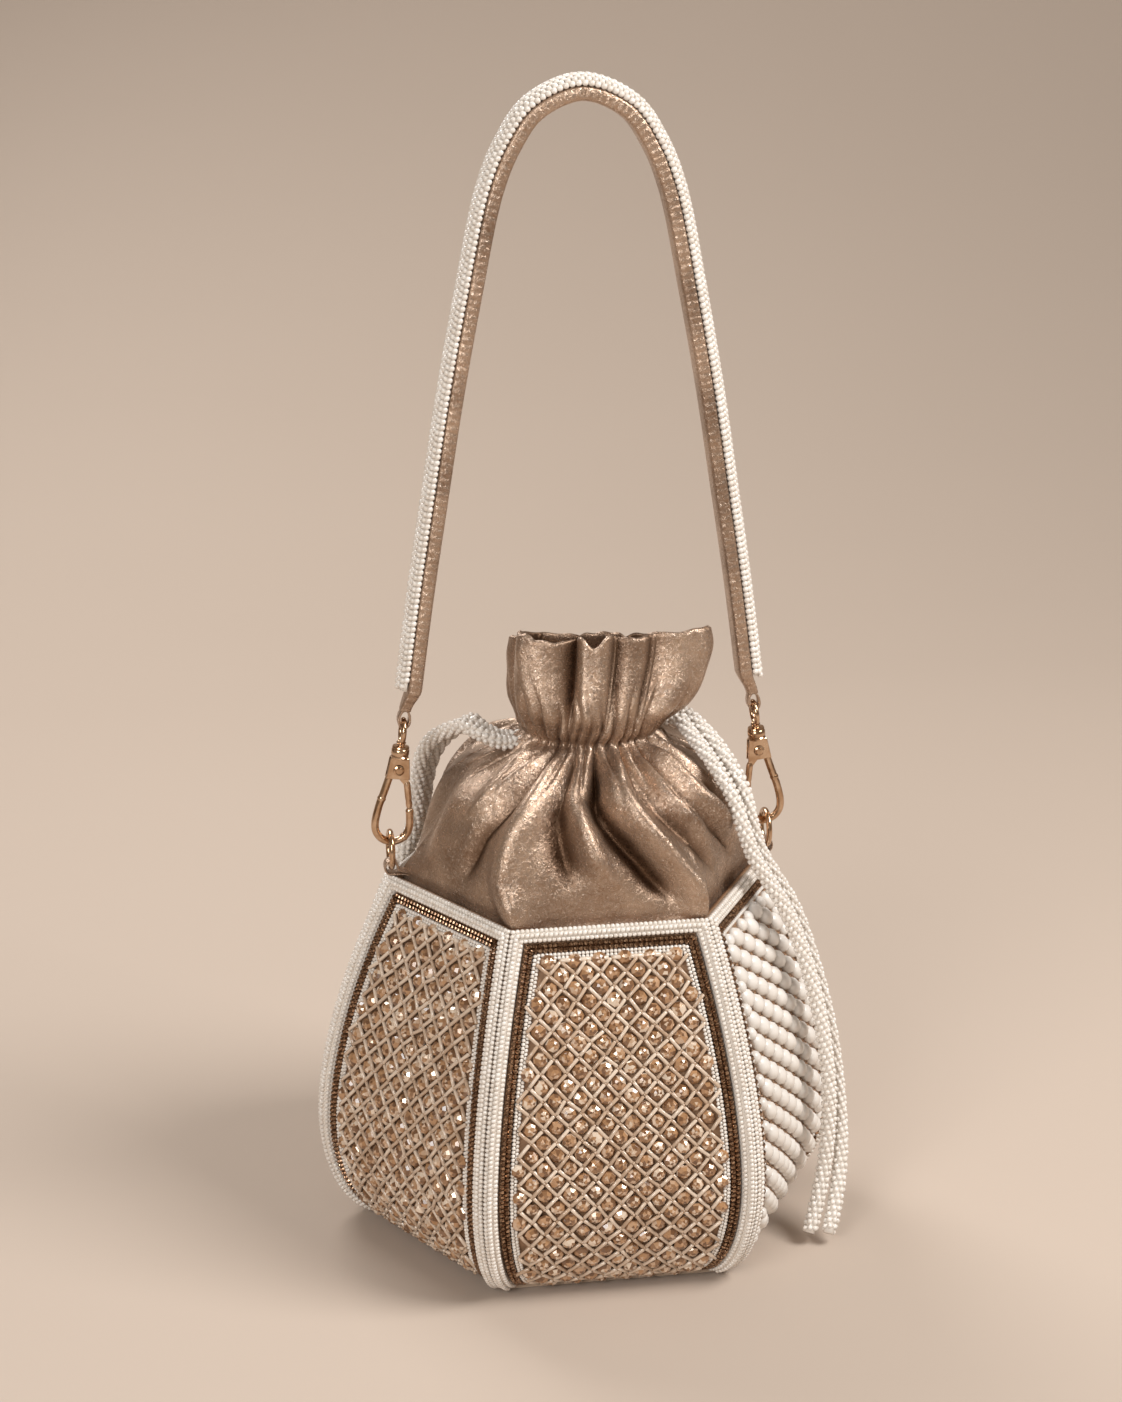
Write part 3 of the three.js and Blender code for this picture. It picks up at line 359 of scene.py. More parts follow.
def panel_cloth(paint, colours):
    """The woven cloth under the beads: its threads are fine noise, over broad soft shade."""
    threads = paint.noise(1400, 1)
    colour = paint.mix(paint.noise(70, 3), colours.ground_deep, colours.ground)
    normal = paint.bump(threads, 0.5, 0.0002)
    rough = 0.45 + 0.2 * threads
    return paint.finish(Base_Color=colour, Roughness=rough, Metallic=0.3, Normal=normal)


def satin_lining(paint, colours):
    """Satin: long fine threads, upright on the sides, with soft broad sheen."""
    fine = paint.node("ShaderNodeMapping", {}, {0: paint.place, 3: (2600, 2600, 320)})
    threads = paint.noise(1, 2, where=fine)
    colour = paint.mix(paint.noise(40, 2), colours.satin, colours.satin_light)
    normal = paint.bump(threads, 0.3, 0.0002)
    return paint.finish(
        Base_Color=colour, Roughness=0.38 + 0.15 * threads, Normal=normal, Sheen_Weight=0.3
    )


def white_bead(paint, colours):
    """Cream glass seed beads: a pearly skin over the tone that each bead carries."""
    tone = paint.tone()
    mottle = paint.noise(900, 2)
    colour = paint.mix(tone, colours.bead_shade, colours.bead)
    rough = 0.2 + 0.16 * mottle - 0.06 * tone
    normal = paint.bump(mottle, 0.12, 0.0002)
    return paint.finish(
        Base_Color=colour, Roughness=rough, Normal=normal, Coat_Weight=0.5, Coat_Roughness=0.08
    )


def bronze_bead(paint, colours):
    """Cut metal beads, from dark bronze to warm gold by each facet's tone; the few light facets are
    painted glints.
    """
    tone = paint.tone()
    colour = paint.mix(tone, colours.bronze, colours.bronze_light_and_glint)
    rough = 0.16 + 0.18 * paint.noise(700, 2)
    return paint.finish(Base_Color=colour, Roughness=rough, Metallic=0.9, Coat_Weight=0.3)


def amber_crystal(paint, colours):
    """Cut crystal over a champagne foil back: each facet has its own painted light, from a dark
    amber painted shade through the stone's colour to an almost clear painted highlight."""
    tone = paint.tone()
    # Painted light: facets of low tone take the painted shade, facets of high tone the painted
    # highlight.
    dark = paint.mix(tone.between(0.0, 0.5), colours.amber_facet_shade, colours.amber)
    colour = paint.mix(tone.between(0.45, 1.0), dark, colours.amber_facet_highlight)
    cloud = paint.noise(420, 2)
    return paint.finish(
        Base_Color=colour, Roughness=0.06 + 0.12 * cloud, Metallic=0.25 * tone,
        Coat_Weight=0.6, Coat_Roughness=0.04, IOR=1.6
    )


def bugle_glass(paint, colours):
    """Clear glass bugles: champagne where the cloth shows through, paler by each one's tone."""
    colour = paint.mix(paint.tone(), colours.bugle, colours.bugle_light)
    rough = 0.12 + 0.12 * paint.noise(600, 2)
    return paint.finish(Base_Color=colour, Roughness=rough, Coat_Weight=0.6, Coat_Roughness=0.06)


def pearl_skin(paint, colours):
    """Pressed pearls: a soft waxy gloss, a little uneven, over each pearl's own tone."""
    tone = paint.tone()
    mottle = paint.noise(260, 3)
    colour = paint.mix(tone, colours.bead_shade, colours.pearl)
    rough = 0.22 + 0.2 * mottle
    normal = paint.bump(mottle, 0.15, 0.0003)
    return paint.finish(
        Base_Color=colour, Roughness=rough, Normal=normal, Coat_Weight=0.35, Coat_Roughness=0.15
    )


def gold_metal(paint, colours):
    """Polished light gold plate with fine wear and a few soft dull patches."""
    wear = paint.noise(240, 4, 0.6)
    scratch = paint.noise(2400, 2)
    colour = paint.mix(wear.between(0.35, 0.75), colours.gold, colours.gold_light)
    rough = 0.14 + 0.16 * wear.between(0.4, 0.8)
    normal = paint.bump(scratch, 0.06, 0.0001)
    return paint.finish(Base_Color=colour, Roughness=rough, Metallic=1.0, Normal=normal)


def bronze_thread(paint, colours):
    """Bronze stitching thread, twisted and a little dull."""
    twist = paint.noise(2200, 2)
    colour = paint.mix(twist, colours.bronze, colours.bronze_light_and_glint)
    normal = paint.bump(twist, 0.4, 0.0002)
    rough = 0.35 + 0.2 * twist
    return paint.finish(Base_Color=colour, Roughness=rough, Metallic=0.6, Normal=normal)


def studio_floor(paint, colours):
    """Matt painted floor and backdrop, almost even."""
    shade = paint.noise(2.5, 2)
    colour = paint.mix(shade * 0.3, colours.floor, colours.floor_shade)
    return paint.finish(Base_Color=colour, Roughness=0.75 + 0.1 * shade)


FINISHES = {}


def finish(make):
    """The material that a function above makes and names, made when it is first asked for."""
    if make not in FINISHES:
        FINISHES[make] = make(Paint(make.__name__), bpy.context.scene.potli_colours)
    return FINISHES[make]


def unit(vectors):
    return vectors / np.linalg.norm(vectors, axis=-1, keepdims=True)


def smoothstep(value, low, high):
    """3u^2 - 2u^3 of the share u of the way from low to high."""
    u = np.clip((value - low) / (high - low), 0, 1)
    return u * u * (3 - 2 * u)


def full_turn(count):
    """Evenly spaced angles round a circle."""
    return np.linspace(0, 2 * np.pi, count, endpoint=False)


def squared(value, power):
    """A sine or cosine with its size raised to a power: below 1 it squares a circle off."""
    return np.sign(value) * np.abs(value) ** power


def smooth_line(points, count):
    """Points evenly spaced by length on the centripetal Catmull-Rom curve through the points:
    each span is the cubic whose end slopes come from its neighbours' chords, weighted by the
    square root of their lengths."""
    given = np.asarray(points, float)
    ends = np.vstack([2 * given[0] - given[1], given, 2 * given[-1] - given[-2]])
    gap = np.sqrt(np.linalg.norm(np.diff(ends, axis=0), axis=1))[:, None]
    a, b, c, d = ends[:-3], ends[1:-2], ends[2:-1], ends[3:]
    before, here, after = gap[:-2], gap[1:-1], gap[2:]
    leave = ((b - a) / before - (c - a) / (before + here) + (c - b) / here) * here
    reach = ((c - b) / here - (d - b) / (here + after) + (d - c) / after) * here
    u = np.linspace(0, 1, 40, endpoint=False)[:, None, None]
    bend = 2 * (b - c) + leave + reach
    slack = 3 * (c - b) - 2 * leave - reach
    fine = b + leave * u + slack * u**2 + bend * u**3
    fine = np.vstack([fine.transpose(1, 0, 2).reshape(-1, given.shape[1]), given[-1:]])
    return evenly(fine, count)


def evenly(points, count):
    """The polyline through the points, cut again in equal lengths."""
    length = np.concatenate([[0], np.cumsum(np.linalg.norm(np.diff(points, axis=0), axis=1))])
    at = np.linspace(0, length[-1], count)
    return np.stack([np.interp(at, length, column) for column in points.T], -1)


def line_length(points):
    return float(np.linalg.norm(np.diff(points, axis=0), axis=1).sum())


def heading(points):
    return unit(np.gradient(points, axis=0))


def line_axes(points):
    """Across and outward directions at each point of a line that never runs along Y."""
    along = heading(points)
    out = unit(np.cross(along, (0.0, 1.0, 0.0)))
    return np.cross(out, along), out


def grid_faces(rows, columns, wrap=False, close=False):
    """Two triangles in each cell of a grid of rows and columns, the last column or row joined
    to the first where wrap or close says so."""
    across = columns if wrap else columns - 1
    up = rows if close else rows - 1
    i, j = np.meshgrid(np.arange(up), np.arange(across), indexing="ij")
    next_i, next_j = (i + 1) % rows, (j + 1) % columns
    a, b = i * columns + j, i * columns + next_j
    c, d = next_i * columns + next_j, next_i * columns + j
    return np.concatenate([np.stack([a, b, c], -1), np.stack([a, c, d], -1)], 2).reshape(-1, 3)


def outward(points, faces):
    """The faces, turned round if the shape that they close is inside out: its volume, a sixth
    of the sum of a . (b x c) over the faces, is then below 0."""
    a, b, c = (points[faces[:, k]] for k in range(3))
    return faces if (a * np.cross(b, c)).sum() > 0 else faces[:, ::-1]


def tube(line, radius, sides):
    """A closed round tube: each ring is the line's point plus radius times the cosine and sine
    of its turn on the two cross directions, and a point closes each end."""
    across, out = line_axes(line)
    turn = full_turn(sides)[None, :, None]
    radius = np.broadcast_to(np.asarray(radius, float), (len(line),))[:, None, None]
    ring = line[:, None] + radius * (np.cos(turn) * across[:, None] + np.sin(turn) * out[:, None])
    return capped(ring)


def capped(rings):
    """A closed shell through rings of points, each end closed by a fan to its middle."""
    rows, sides = rings.shape[:2]
    points = np.vstack([rings.reshape(-1, 3), rings[0].mean(0), rings[-1].mean(0)])
    k = np.arange(sides)
    n = (k + 1) % sides
    low = np.stack([n, k, np.full(sides, rows * sides)], -1)
    last = (rows - 1) * sides
    high = np.stack([last + k, last + n, np.full(sides, rows * sides + 1)], -1)
    faces = np.vstack([grid_faces(rows, sides, wrap=True), low, high])
    return points, outward(points, faces)


def round_trip(line, section, across, out):
    """A closed loop of a section: each ring is the line's point plus the section's two numbers
    on the cross directions, and the last ring joins the first."""
    section = np.asarray(section, float)[None]
    ring = line[:, None] + section[..., :1] * across[:, None] + section[..., 1:] * out[:, None]
    points = ring.reshape(-1, 3)
    faces = grid_faces(*ring.shape[:2], wrap=True, close=True)
    return points, outward(points, faces)


def turned(profile, sides):
    """A solid turned about Z: each profile pair is a radius and a height, closed on the axis."""
    radius, height = np.asarray(profile, float).T[..., None]
    turn = full_turn(sides)
    return capped(np.stack([radius * np.cos(turn), radius * np.sin(turn), height + 0 * turn], -1))


def bead(profile, sides):
    """A bead turned about its own x axis, from length and radius pairs."""
    points, faces = turned([(r, x) for x, r in profile], sides)
    points = points[:, [2, 0, 1]]
    return points, outward(points, faces)


SEED = bead([(-0.42, 0.26), (-0.2, 0.48), (0.2, 0.48), (0.42, 0.26)], 7)
BUGLE = bead([(-0.5, 0.3), (-0.46, 0.46), (0.46, 0.46), (0.5, 0.3)], 8)
CUT_BEAD = bead([(-0.4, 0.3), (-0.16, 0.5), (0.16, 0.5), (0.4, 0.3)], 6)
RICE = bead(
    [(-0.5, 0.1), (-0.43, 0.3), (-0.28, 0.44), (0, 0.5), (0.28, 0.44), (0.43, 0.3), (0.5, 0.1)], 10
)
STITCH = bead([(-0.5, 0.2), (-0.3, 0.5), (0.3, 0.5), (0.5, 0.2)], 5)


# A cut stone, turned about z: a small table, a steep crown in two steps, a girdle and a back
STONE = turned([(0.1, 0.5), (0.27, 0.4), (0.44, 0.16), (0.5, 0), (0.42, -0.2), (0.2, -0.36)], 8)


def scatter(template, places, axes, sizes, tones):
    """Copies of a bead: its points times its size, turned by its axes and set at its place."""
    points, faces = template
    count = len(places)
    sizes = np.broadcast_to(np.asarray(sizes, float), (count, 3))
    spread = places[:, None] + np.einsum("kc,nc,ncd->nkd", points, sizes, axes)
    shifted = faces[None] + (np.arange(count) * len(points))[:, None, None]
    tones = np.repeat(np.broadcast_to(tones, (count,)), len(points))
    return spread.reshape(-1, 3), shifted.reshape(-1, 3), tones


def gather(*shells):
    """Several shells as one: their points, faces and tones, one after another."""
    points, faces, tones, start = [], [], [], 0
    for shell in shells:
        points.append(shell[0])
        faces.append(shell[1] + start)
        tones.append(shell[2] if len(shell) > 2 else np.full(len(shell[0]), 0.5))
        start += len(shell[0])
    return np.vstack(points), np.vstack(faces), np.concatenate(tones)


def toned(shell, tone):
    return (*shell, np.full(len(shell[0]), tone))


def add_object(name, data):
    made = bpy.data.objects.new(name, data)
    bpy.context.scene.collection.objects.link(made)
    return made


def make_piece(name, shell, material, body, replaces=(), smooth=True):
    """A mesh object from points in millimetres, its faces and the tone of each point or face,
    riding on a body and the CAD nodes that it stands for."""
    points, faces = shell[0] * MM, shell[1]
    mesh = bpy.data.meshes.new(name)
    mesh.vertices.add(len(points))
    mesh.vertices.foreach_set("co", points.astype(np.float32).ravel())
    mesh.loops.add(faces.size)
    mesh.loops.foreach_set("vertex_index", faces.astype(np.int32).ravel())
    mesh.polygons.add(len(faces))
    mesh.polygons.foreach_set("loop_start", np.arange(0, faces.size, 3, dtype=np.int32))
    mesh.polygons.foreach_set("use_smooth", np.full(len(faces), smooth))
    if len(shell) > 2:
        each = "FACE" if len(shell[2]) == len(faces) else "POINT"
        tone = mesh.attributes.new("tone", "FLOAT", each)
        tone.data.foreach_set("value", shell[2].astype(np.float32))
    mesh.update(calc_edges=True)
    mesh.materials.append(finish(material))
    piece = add_object(name, mesh)
    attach(piece, body)
    if replaces:
        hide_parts(*replaces)
    return piece


def body_meridian():
    """The corner line of the panels: a quarter of an ellipse under the belly, then a lean in
    that grows with the height to the power TAPER. Gives length, radius and height."""
    turn = FOOT_ANGLE * (1 - np.arange(240) / 240)
    foot_r = FOOT_RADIUS + (BELLY_RADIUS - FOOT_RADIUS) * np.cos(turn)
    foot_z = BELLY_HEIGHT - (BELLY_HEIGHT - FOOT_LIFT) * np.sin(turn)
    z = np.linspace(BELLY_HEIGHT, RIM_HEIGHT, 241)
    radius = np.concatenate([foot_r, body_radius(z)])
    height = np.concatenate([foot_z, z])
    steps = np.hypot(np.diff(radius), np.diff(height))
    return np.concatenate([[0], np.cumsum(steps)]), radius, height


def body_radius(z):
    rise = np.clip((z - BELLY_HEIGHT) / (RIM_HEIGHT - BELLY_HEIGHT), 0, None)
    return BELLY_RADIUS - (BELLY_RADIUS - RIM_RADIUS) * rise**TAPER


MERIDIAN = body_meridian()
PANEL_LENGTH = float(MERIDIAN[0][-1])


def meridian(t):
    """Radius, height and outward normal at a length t up the corner line."""
    length, radius, height = MERIDIAN
    slope_r, slope_z = np.gradient(radius, length), np.gradient(height, length)
    size = np.hypot(slope_r, slope_z)
    return (
        np.interp(t, length, radius),
        np.interp(t, length, height),
        np.interp(t, length, slope_z / size),
        np.interp(t, length, -slope_r / size),
    )


def half_width(t):
    return meridian(t)[0] * math.sin(HALF_ANGLE)


def panel_point(facing, s, t, h):
    """A point of a panel: s across from its middle line, t up it and h out of the cloth, with
    the width scaled by h so that every layer is mitred at the corners."""
    s, t, h = np.broadcast_arrays(*(np.asarray(v, float) for v in (s, t, h)))
    r, z, nr, nz = meridian(t)
    middle = r * math.cos(HALF_ANGLE)
    out = middle + h * nr
    across = s * out / middle
    c, w = math.cos(facing), math.sin(facing)
    return np.stack([out * c - across * w, out * w + across * c, z + h * nz], -1)


def panel_axes(facing, t, turn=0.0):
    """Rows of along, across and outward directions at a length t, the first two turned on the
    cloth by an angle from level."""
    _, _, nr, nz = meridian(np.asarray(t, float))
    c, w = math.cos(facing), math.sin(facing)
    level = np.broadcast_to([-w, c, 0.0], (*nr.shape, 3))
    rise = np.stack([-nz * c, -nz * w, nr], -1)
    out = np.stack([nr * c, nr * w, nz], -1)
    turn = np.broadcast_to(np.asarray(turn, float), nr.shape)[..., None]
    along = np.cos(turn) * level + np.sin(turn) * rise
    cross = np.cos(turn) * rise - np.sin(turn) * level
    return np.stack([along, cross, out], -2)


def sewn(facing, s, t, h, turn, template, size, tones):
    """Beads on a panel at points across and up it, h out of the cloth and turned on it."""
    return scatter(template, panel_point(facing, s, t, h), panel_axes(facing, t, turn), size, tones)


def border_line(d):
    """Across and up coordinates along a border line at distance d from a panel's edge: up one
    side, across the top and down the other side."""
    t = np.linspace(0, PANEL_LENGTH - d, 400)
    side = half_width(t) - EDGE - d
    top = np.linspace(-side[-1], side[-1], 200)[1:-1]
    level = np.full(len(top), PANEL_LENGTH - d)
    return np.stack(
        [np.concatenate([-side, top, side[::-1]]), np.concatenate([t, level, t[::-1]])], -1
    )


def border_beads(facing, d, h, pitch, template, size, tones, shifted=False, part="whole"):
    """A row of beads on a border line, each turned along the line and standing h out: the whole
    line, or its sides or its top alone."""
    line = border_line(d)
    count = int(round(line_length(line) / pitch))
    spots = evenly(line, 2 * count + 1)
    spots = spots[2:-1:2] if shifted else spots[1::2]
    if part != "whole":
        below = spots[:, 1] < PANEL_LENGTH - d - 0.5 * pitch
        spots = spots[below == (part == "sides")]
    turn = np.arctan2(np.gradient(spots[:, 1]), np.gradient(spots[:, 0]))
    s, t = spots.T
    return sewn(facing, s, t, h, turn, template, size, tones(len(s)))


def border_core(facing, section):
    """The cord under a border's beads: a strip of the section's distance and height pairs
    carried up both sides and across the top, with each sixth of the border line's points kept
    on the sides and each third on the top."""
    rows = []
    for d, h in section:
        line = border_line(d)
        rows.append(panel_point(facing, line[:, 0], line[:, 1], h))
    keep = np.r_[0:399:6, 398, 399:598:3, 598, 602:997:6]
    return capped(np.stack(rows, 1)[keep])


def seeded(seed):
    """Even random tones from a numbered start, so that each run is the same."""
    chance = np.random.default_rng(seed)
    return lambda count: chance.random(count)


def piping_beads(facing, seed):
    """The white edging: a round cord of three rows of seed beads, the middle one highest."""
    section = [(0.1, 0.1), (0.5, 1.5), (1.6, 2.1), (2.35, 2.3), (3.1, 2.1), (4.2, 1.5), (4.6, 0.1)]
    tones = seeded(seed)
    rows = [
        border_beads(facing, d, h, PIPING_PITCH, SEED, PIPING_SEED, tones, shifted)
        for d, h, shifted in ((0.82, 1.75, False), (2.35, 2.5, True), (3.88, 1.75, False))
    ]
    return gather(toned(border_core(facing, section), 0.35), *rows)


def bronze_beads(facing, seed, single):
    """The bronze line: two staggered rows of cut beads, or one row of larger beads down the
    sides of a pearl panel. Each facet has its own random tone, and most are dark; the few light
    ones are painted glints."""
    core = border_core(facing, [(5.1, 0.1), (5.4, 0.7), (6.6, 1.0), (7.8, 0.7), (8.1, 0.1)])
    rows = [
        (5.85, BRONZE_PITCH, BRONZE_BEAD, False, "whole"),
        (7.35, BRONZE_PITCH, BRONZE_BEAD, True, "whole"),
    ]
    if single:
        rows = [
            (6.6, LARGE_PITCH, LARGE_BRONZE, False, "sides"),
            (5.85, BRONZE_PITCH, BRONZE_BEAD, False, "top"),
            (7.3, BRONZE_PITCH, BRONZE_BEAD, True, "top"),
        ]
    tones = seeded(seed)
    shells = []
    for d, pitch, size, shifted, part in rows:
        h = 1.3 if size == LARGE_BRONZE else 1.15
        shells.append(border_beads(facing, d, h, pitch, CUT_BEAD, size, tones, shifted, part))
    points, faces, _ = gather(core, *shells)
    # Painted glints: a random tone for each facet, mostly dark and a few light, the core's facets
    # left dark.
    facets = np.random.default_rng(seed).random(len(faces)) ** 2.6
    facets[: len(core[1])] = 0
    return points, faces, facets


def panel_backing(facing):
    """The panel's own cloth: a slab between the outer face and CLOTH below it, with one grid of
    points on each face and a skirt between them."""
    t = np.linspace(0, PANEL_LENGTH, 46)
    side = (half_width(t) - EDGE)[:, None]
    s = side * np.linspace(-1, 1, 25)
    face = panel_point(facing, s, t[:, None], 0.12)
    back = panel_point(facing, s, t[:, None], -CLOTH)
    rings = np.concatenate([face, back[:, ::-1]], 1)
    return capped(rings)


def inside_field(s, t, margin):
    """Which points lie inside the bead field by at least a margin."""
    side = half_width(t) - FIELD_EDGE
    level = (t > 0.4 + margin) & (t < PANEL_LENGTH - FIELD_EDGE - margin)
    return level & (np.abs(s) < side - margin)


def chequer(half_x, half_y, tilt, odd):
    """The odd or even points of a chequer with its middle on the panel's middle, turned by
    tilt: across and up coordinates."""
    i, j = np.meshgrid(np.arange(-40, 41), np.arange(-40, 41), indexing="ij")
    keep = ((i + j) % 2 == 1) == odd
    i, j = i[keep] * half_x, j[keep] * half_y
    s = i * math.cos(tilt) - j * math.sin(tilt)
    t = i * math.sin(tilt) + j * math.cos(tilt) + PANEL_LENGTH / 2
    return s, t


def net_beads(facing, seed):
    """The net: a bugle on each side of every diamond, each a little off its place and angle, a
    seed bead at every crossing and level bugles along the top."""
    tones = seeded(seed)
    chance = np.random.default_rng(seed + 5)
    half_x, half_y = NET_WIDTH / 2, NET_HEIGHT / 2
    slope = math.atan2(half_y, half_x)
    length = math.hypot(half_x, half_y)
    shells = []
    s, t = chequer(half_x, half_y, 0, False)
    for way in (1, -1):
        ms, mt = s + way * half_x / 2, t + half_y / 2
        keep = inside_field(ms, mt, 0.2)
        ms, mt = ms[keep], mt[keep]
        turn = slope * way + chance.normal(0, 0.075, len(ms))
        ms, mt = ms + chance.normal(0, 0.14, len(ms)), mt + chance.normal(0, 0.14, len(ms))
        size = (length - BUGLE_GAP, BUGLE_WIDTH, BUGLE_DEPTH)
        height = 1.5 + 0.2 * (way > 0)
        shells.append(sewn(facing, ms, mt, height, turn, BUGLE, size, tones(len(ms))))
    keep = inside_field(s, t, 0.6)
    dark = 0.2 * tones(int(keep.sum()))
    shells.append(sewn(facing, s[keep], t[keep], 1.6, 0.8, SEED, CROSSING_SEED, dark))
    level = PANEL_LENGTH - FIELD_EDGE - 1.1
    side = float(half_width(level)) - FIELD_EDGE - 2
    across = np.arange(-side + 2, side - 1, TOP_PITCH)
    level = np.full(len(across), level)
    shells.append(sewn(facing, across, level, 1.5, 0, BUGLE, TOP_BUGLE, 1.0))
    return gather(*shells)


def inner_seeds(facing, seed):
    """Two thin rows of seed beads between the bronze line and the net."""
    tones = seeded(seed)
    return gather(
        border_beads(facing, 8.85, 0.85, FINE_PITCH, SEED, FINE_SEED, tones),
        border_beads(facing, 10.0, 0.8, FINE_PITCH, SEED, INNER_SEED, tones, True),
    )


def net_stones(facing, seed):
    """The cut stones, one in every diamond of the net, each a little turned and tipped, with a
    tone for each flat facet that paints its shade and highlight."""
    s, t = chequer(NET_WIDTH / 2, NET_HEIGHT / 2, 0, True)
    keep = inside_field(s, t, 0.9)
    s, t = s[keep], t[keep]
    chance = np.random.default_rng(seed)
    axes = panel_axes(facing, t, chance.random(len(s)) * 0.8)
    tip = chance.normal(0, 0.16, (len(s), 2))
    out = unit(axes[:, 2] + tip[:, :1] * axes[:, 0] + tip[:, 1:] * axes[:, 1])
    first = unit(axes[:, 0] - (axes[:, 0] * out).sum(1, keepdims=True) * out)
    axes = np.stack([first, np.cross(out, first), out], 1)
    places = panel_point(facing, s, t, 1.0)
    size = np.array(STONE_SIZE) * (1 + chance.normal(0, 0.04, (len(s), 1)))
    points, faces, _ = scatter(STONE, places, axes, size, 0.5)
    # Painted light: a random tone for each facet, dark for painted shade and light for painted
    # reflection, shared by each two neighbouring triangles and scaled by a random amount for each
    # stone.
    facets = chance.random((len(s), len(STONE[1]))) ** 1.3
    facets[:, 1::2] = facets[:, ::2]
    depth = 0.75 + 0.5 * chance.random((len(s), 1))
    return points, faces, np.clip(facets * depth, 0, 1).ravel()


def pearl_rows(facing, seed):
    """Rows of oval pearls that slant down across the panel, a small round pearl at each row's
    end, and a thin row of seeds inside the border."""
    tones = seeded(seed)
    s, t = chequer(PEARL_PITCH / 2, PEARL_ROW, PEARL_TILT, True)
    whole = inside_field(s, t, 1.2)
    pale = 0.6 + 0.4 * tones(int(whole.sum()))
    pearls = sewn(facing, s[whole], t[whole], 0.75, PEARL_TILT, RICE, PEARL_SIZE, pale)
    part = ~whole & inside_field(s, t, -3.4)
    s, t = s[part], np.clip(t[part], 2.4, PANEL_LENGTH - FIELD_EDGE - 2.2)
    side = half_width(t) - FIELD_EDGE - 2.0
    s, pale = np.clip(s, -side, side), 0.6 + 0.4 * tones(len(s))
    small = sewn(facing, s, t, 0.7, PEARL_TILT, RICE, END_PEARL_SIZE, pale)
    edge = border_beads(facing, 8.95, 0.85, FINE_PITCH, SEED, FINE_SEED, tones)
    return gather(pearls, small, edge)


def pearl_stitches(facing, seed):
    """Short bronze stitches in a line between each two rows of pearls."""
    along, row = np.arange(-60, 60) * STITCH_PITCH, (np.arange(-22, 22) + 0.5) * PEARL_ROW
    along, row = (grid.ravel() for grid in np.meshgrid(along, row))
    s = along * math.cos(PEARL_TILT) - row * math.sin(PEARL_TILT)
    t = along * math.sin(PEARL_TILT) + row * math.cos(PEARL_TILT) + PANEL_LENGTH / 2
    keep = inside_field(s, t, 0.3)
    s, t = s[keep], t[keep]
    turn = PEARL_TILT + 0.25
    return sewn(facing, s, t, 0.6, turn, STITCH, STITCH_SIZE, seeded(seed)(len(s)))


def hexagon_radius(turn):
    """Radius of a hexagon of unit corner radius at an angle."""
    past = np.mod(turn, 2 * HALF_ANGLE)
    return math.cos(HALF_ANGLE) / np.cos(past - HALF_ANGLE)


def apart(a, b):
    """The angle between two directions, in degrees."""
    return np.abs(np.mod(a - b + 540, 360) - 180)


def lean(z):
    """How far the neck and the ruffle lean to +X at a height."""
    neck = NECK_SHIFT * smoothstep(z, RIM_HEIGHT, NECK_HEIGHT)
    return neck + LIP_SHIFT * smoothstep(z, NECK_HEIGHT, LIP_HEIGHT)


def hook_dip(y, z):
    """The cloth's dip behind each hook: a half sine up, a bell across."""
    share = np.clip((z - 127) / 37, 0, 1)
    return HOOK_DIP * np.sin(np.pi * share) * np.exp(-((y / HOOK_DIP_WIDTH) ** 2))


def fold_lines(lines, degrees, z, radius, power, narrow):
    """The height of the folds that run along the listed lines: each is a bell across its line,
    squarer for a higher power, on the front and again on the back, and fades out below its
    lowest point."""
    height = np.zeros(np.broadcast(degrees, z, radius).shape)
    for at, rise, width in lines:
        heights = [p[0] for p in at][::-1]
        angle = np.interp(z, heights, [p[1] for p in at][::-1])
        shown = smoothstep(z, heights[0] - 7, heights[0] + 8)
        for half in (0, 180):
            away = apart(degrees, angle + half) * np.pi * radius / 180
            spread = np.minimum(width, narrow * radius)
            height = height + rise * shown * np.exp(-((away / spread) ** power))
    return height


def ruffle_fold(degrees):
    """The ruffle's depth: a power of a cosine over each lobe, less the valleys' depth."""
    lobes = 0
    for middle, half, stand in RUFFLE_LOBES:
        share = np.minimum(apart(degrees, middle) / half, 1)
        lobes = lobes + (RUFFLE_VALLEY + stand) * np.cos(share * np.pi / 2) ** 0.55
    return lobes - RUFFLE_VALLEY


def neck_puffs(degrees, z):
    """Puffs of cloth between the tucks: a half sine to the power 0.55 between each two, with
    the tucks wandering a little as they rise."""
    tucks = np.array(NECK_TUCKS + [NECK_TUCKS[0] + 360], float)
    wander = 2.2 * np.sin(z / 6.5 + 2.1) + 1.3 * np.sin(z / 3.1 + degrees / 17)
    place = np.mod(degrees + wander - tucks[0], 360) + tucks[0]
    k = np.clip(np.searchsorted(tucks, place, side="right") - 1, 0, len(tucks) - 2)
    share = (place - tucks[k]) / (tucks[k + 1] - tucks[k])
    wide = np.minimum((tucks[k + 1] - tucks[k]) / 12, 1.3)
    return wide * (np.clip(np.sin(np.pi * share), 0, 1) ** 0.55 - 0.6)


def ripple(degrees, z, seed):
    """Small uneven waves: five sines of different lengths and phases, from 1 down to -1."""
    chance = np.random.default_rng(seed)
    total = 0
    for _ in range(5):
        turns = chance.integers(9, 34)
        rise = chance.uniform(0.05, 0.28)
        total = total + np.sin(np.radians(degrees) * turns + z * rise + chance.uniform(0, 6.3))
    return total / 5


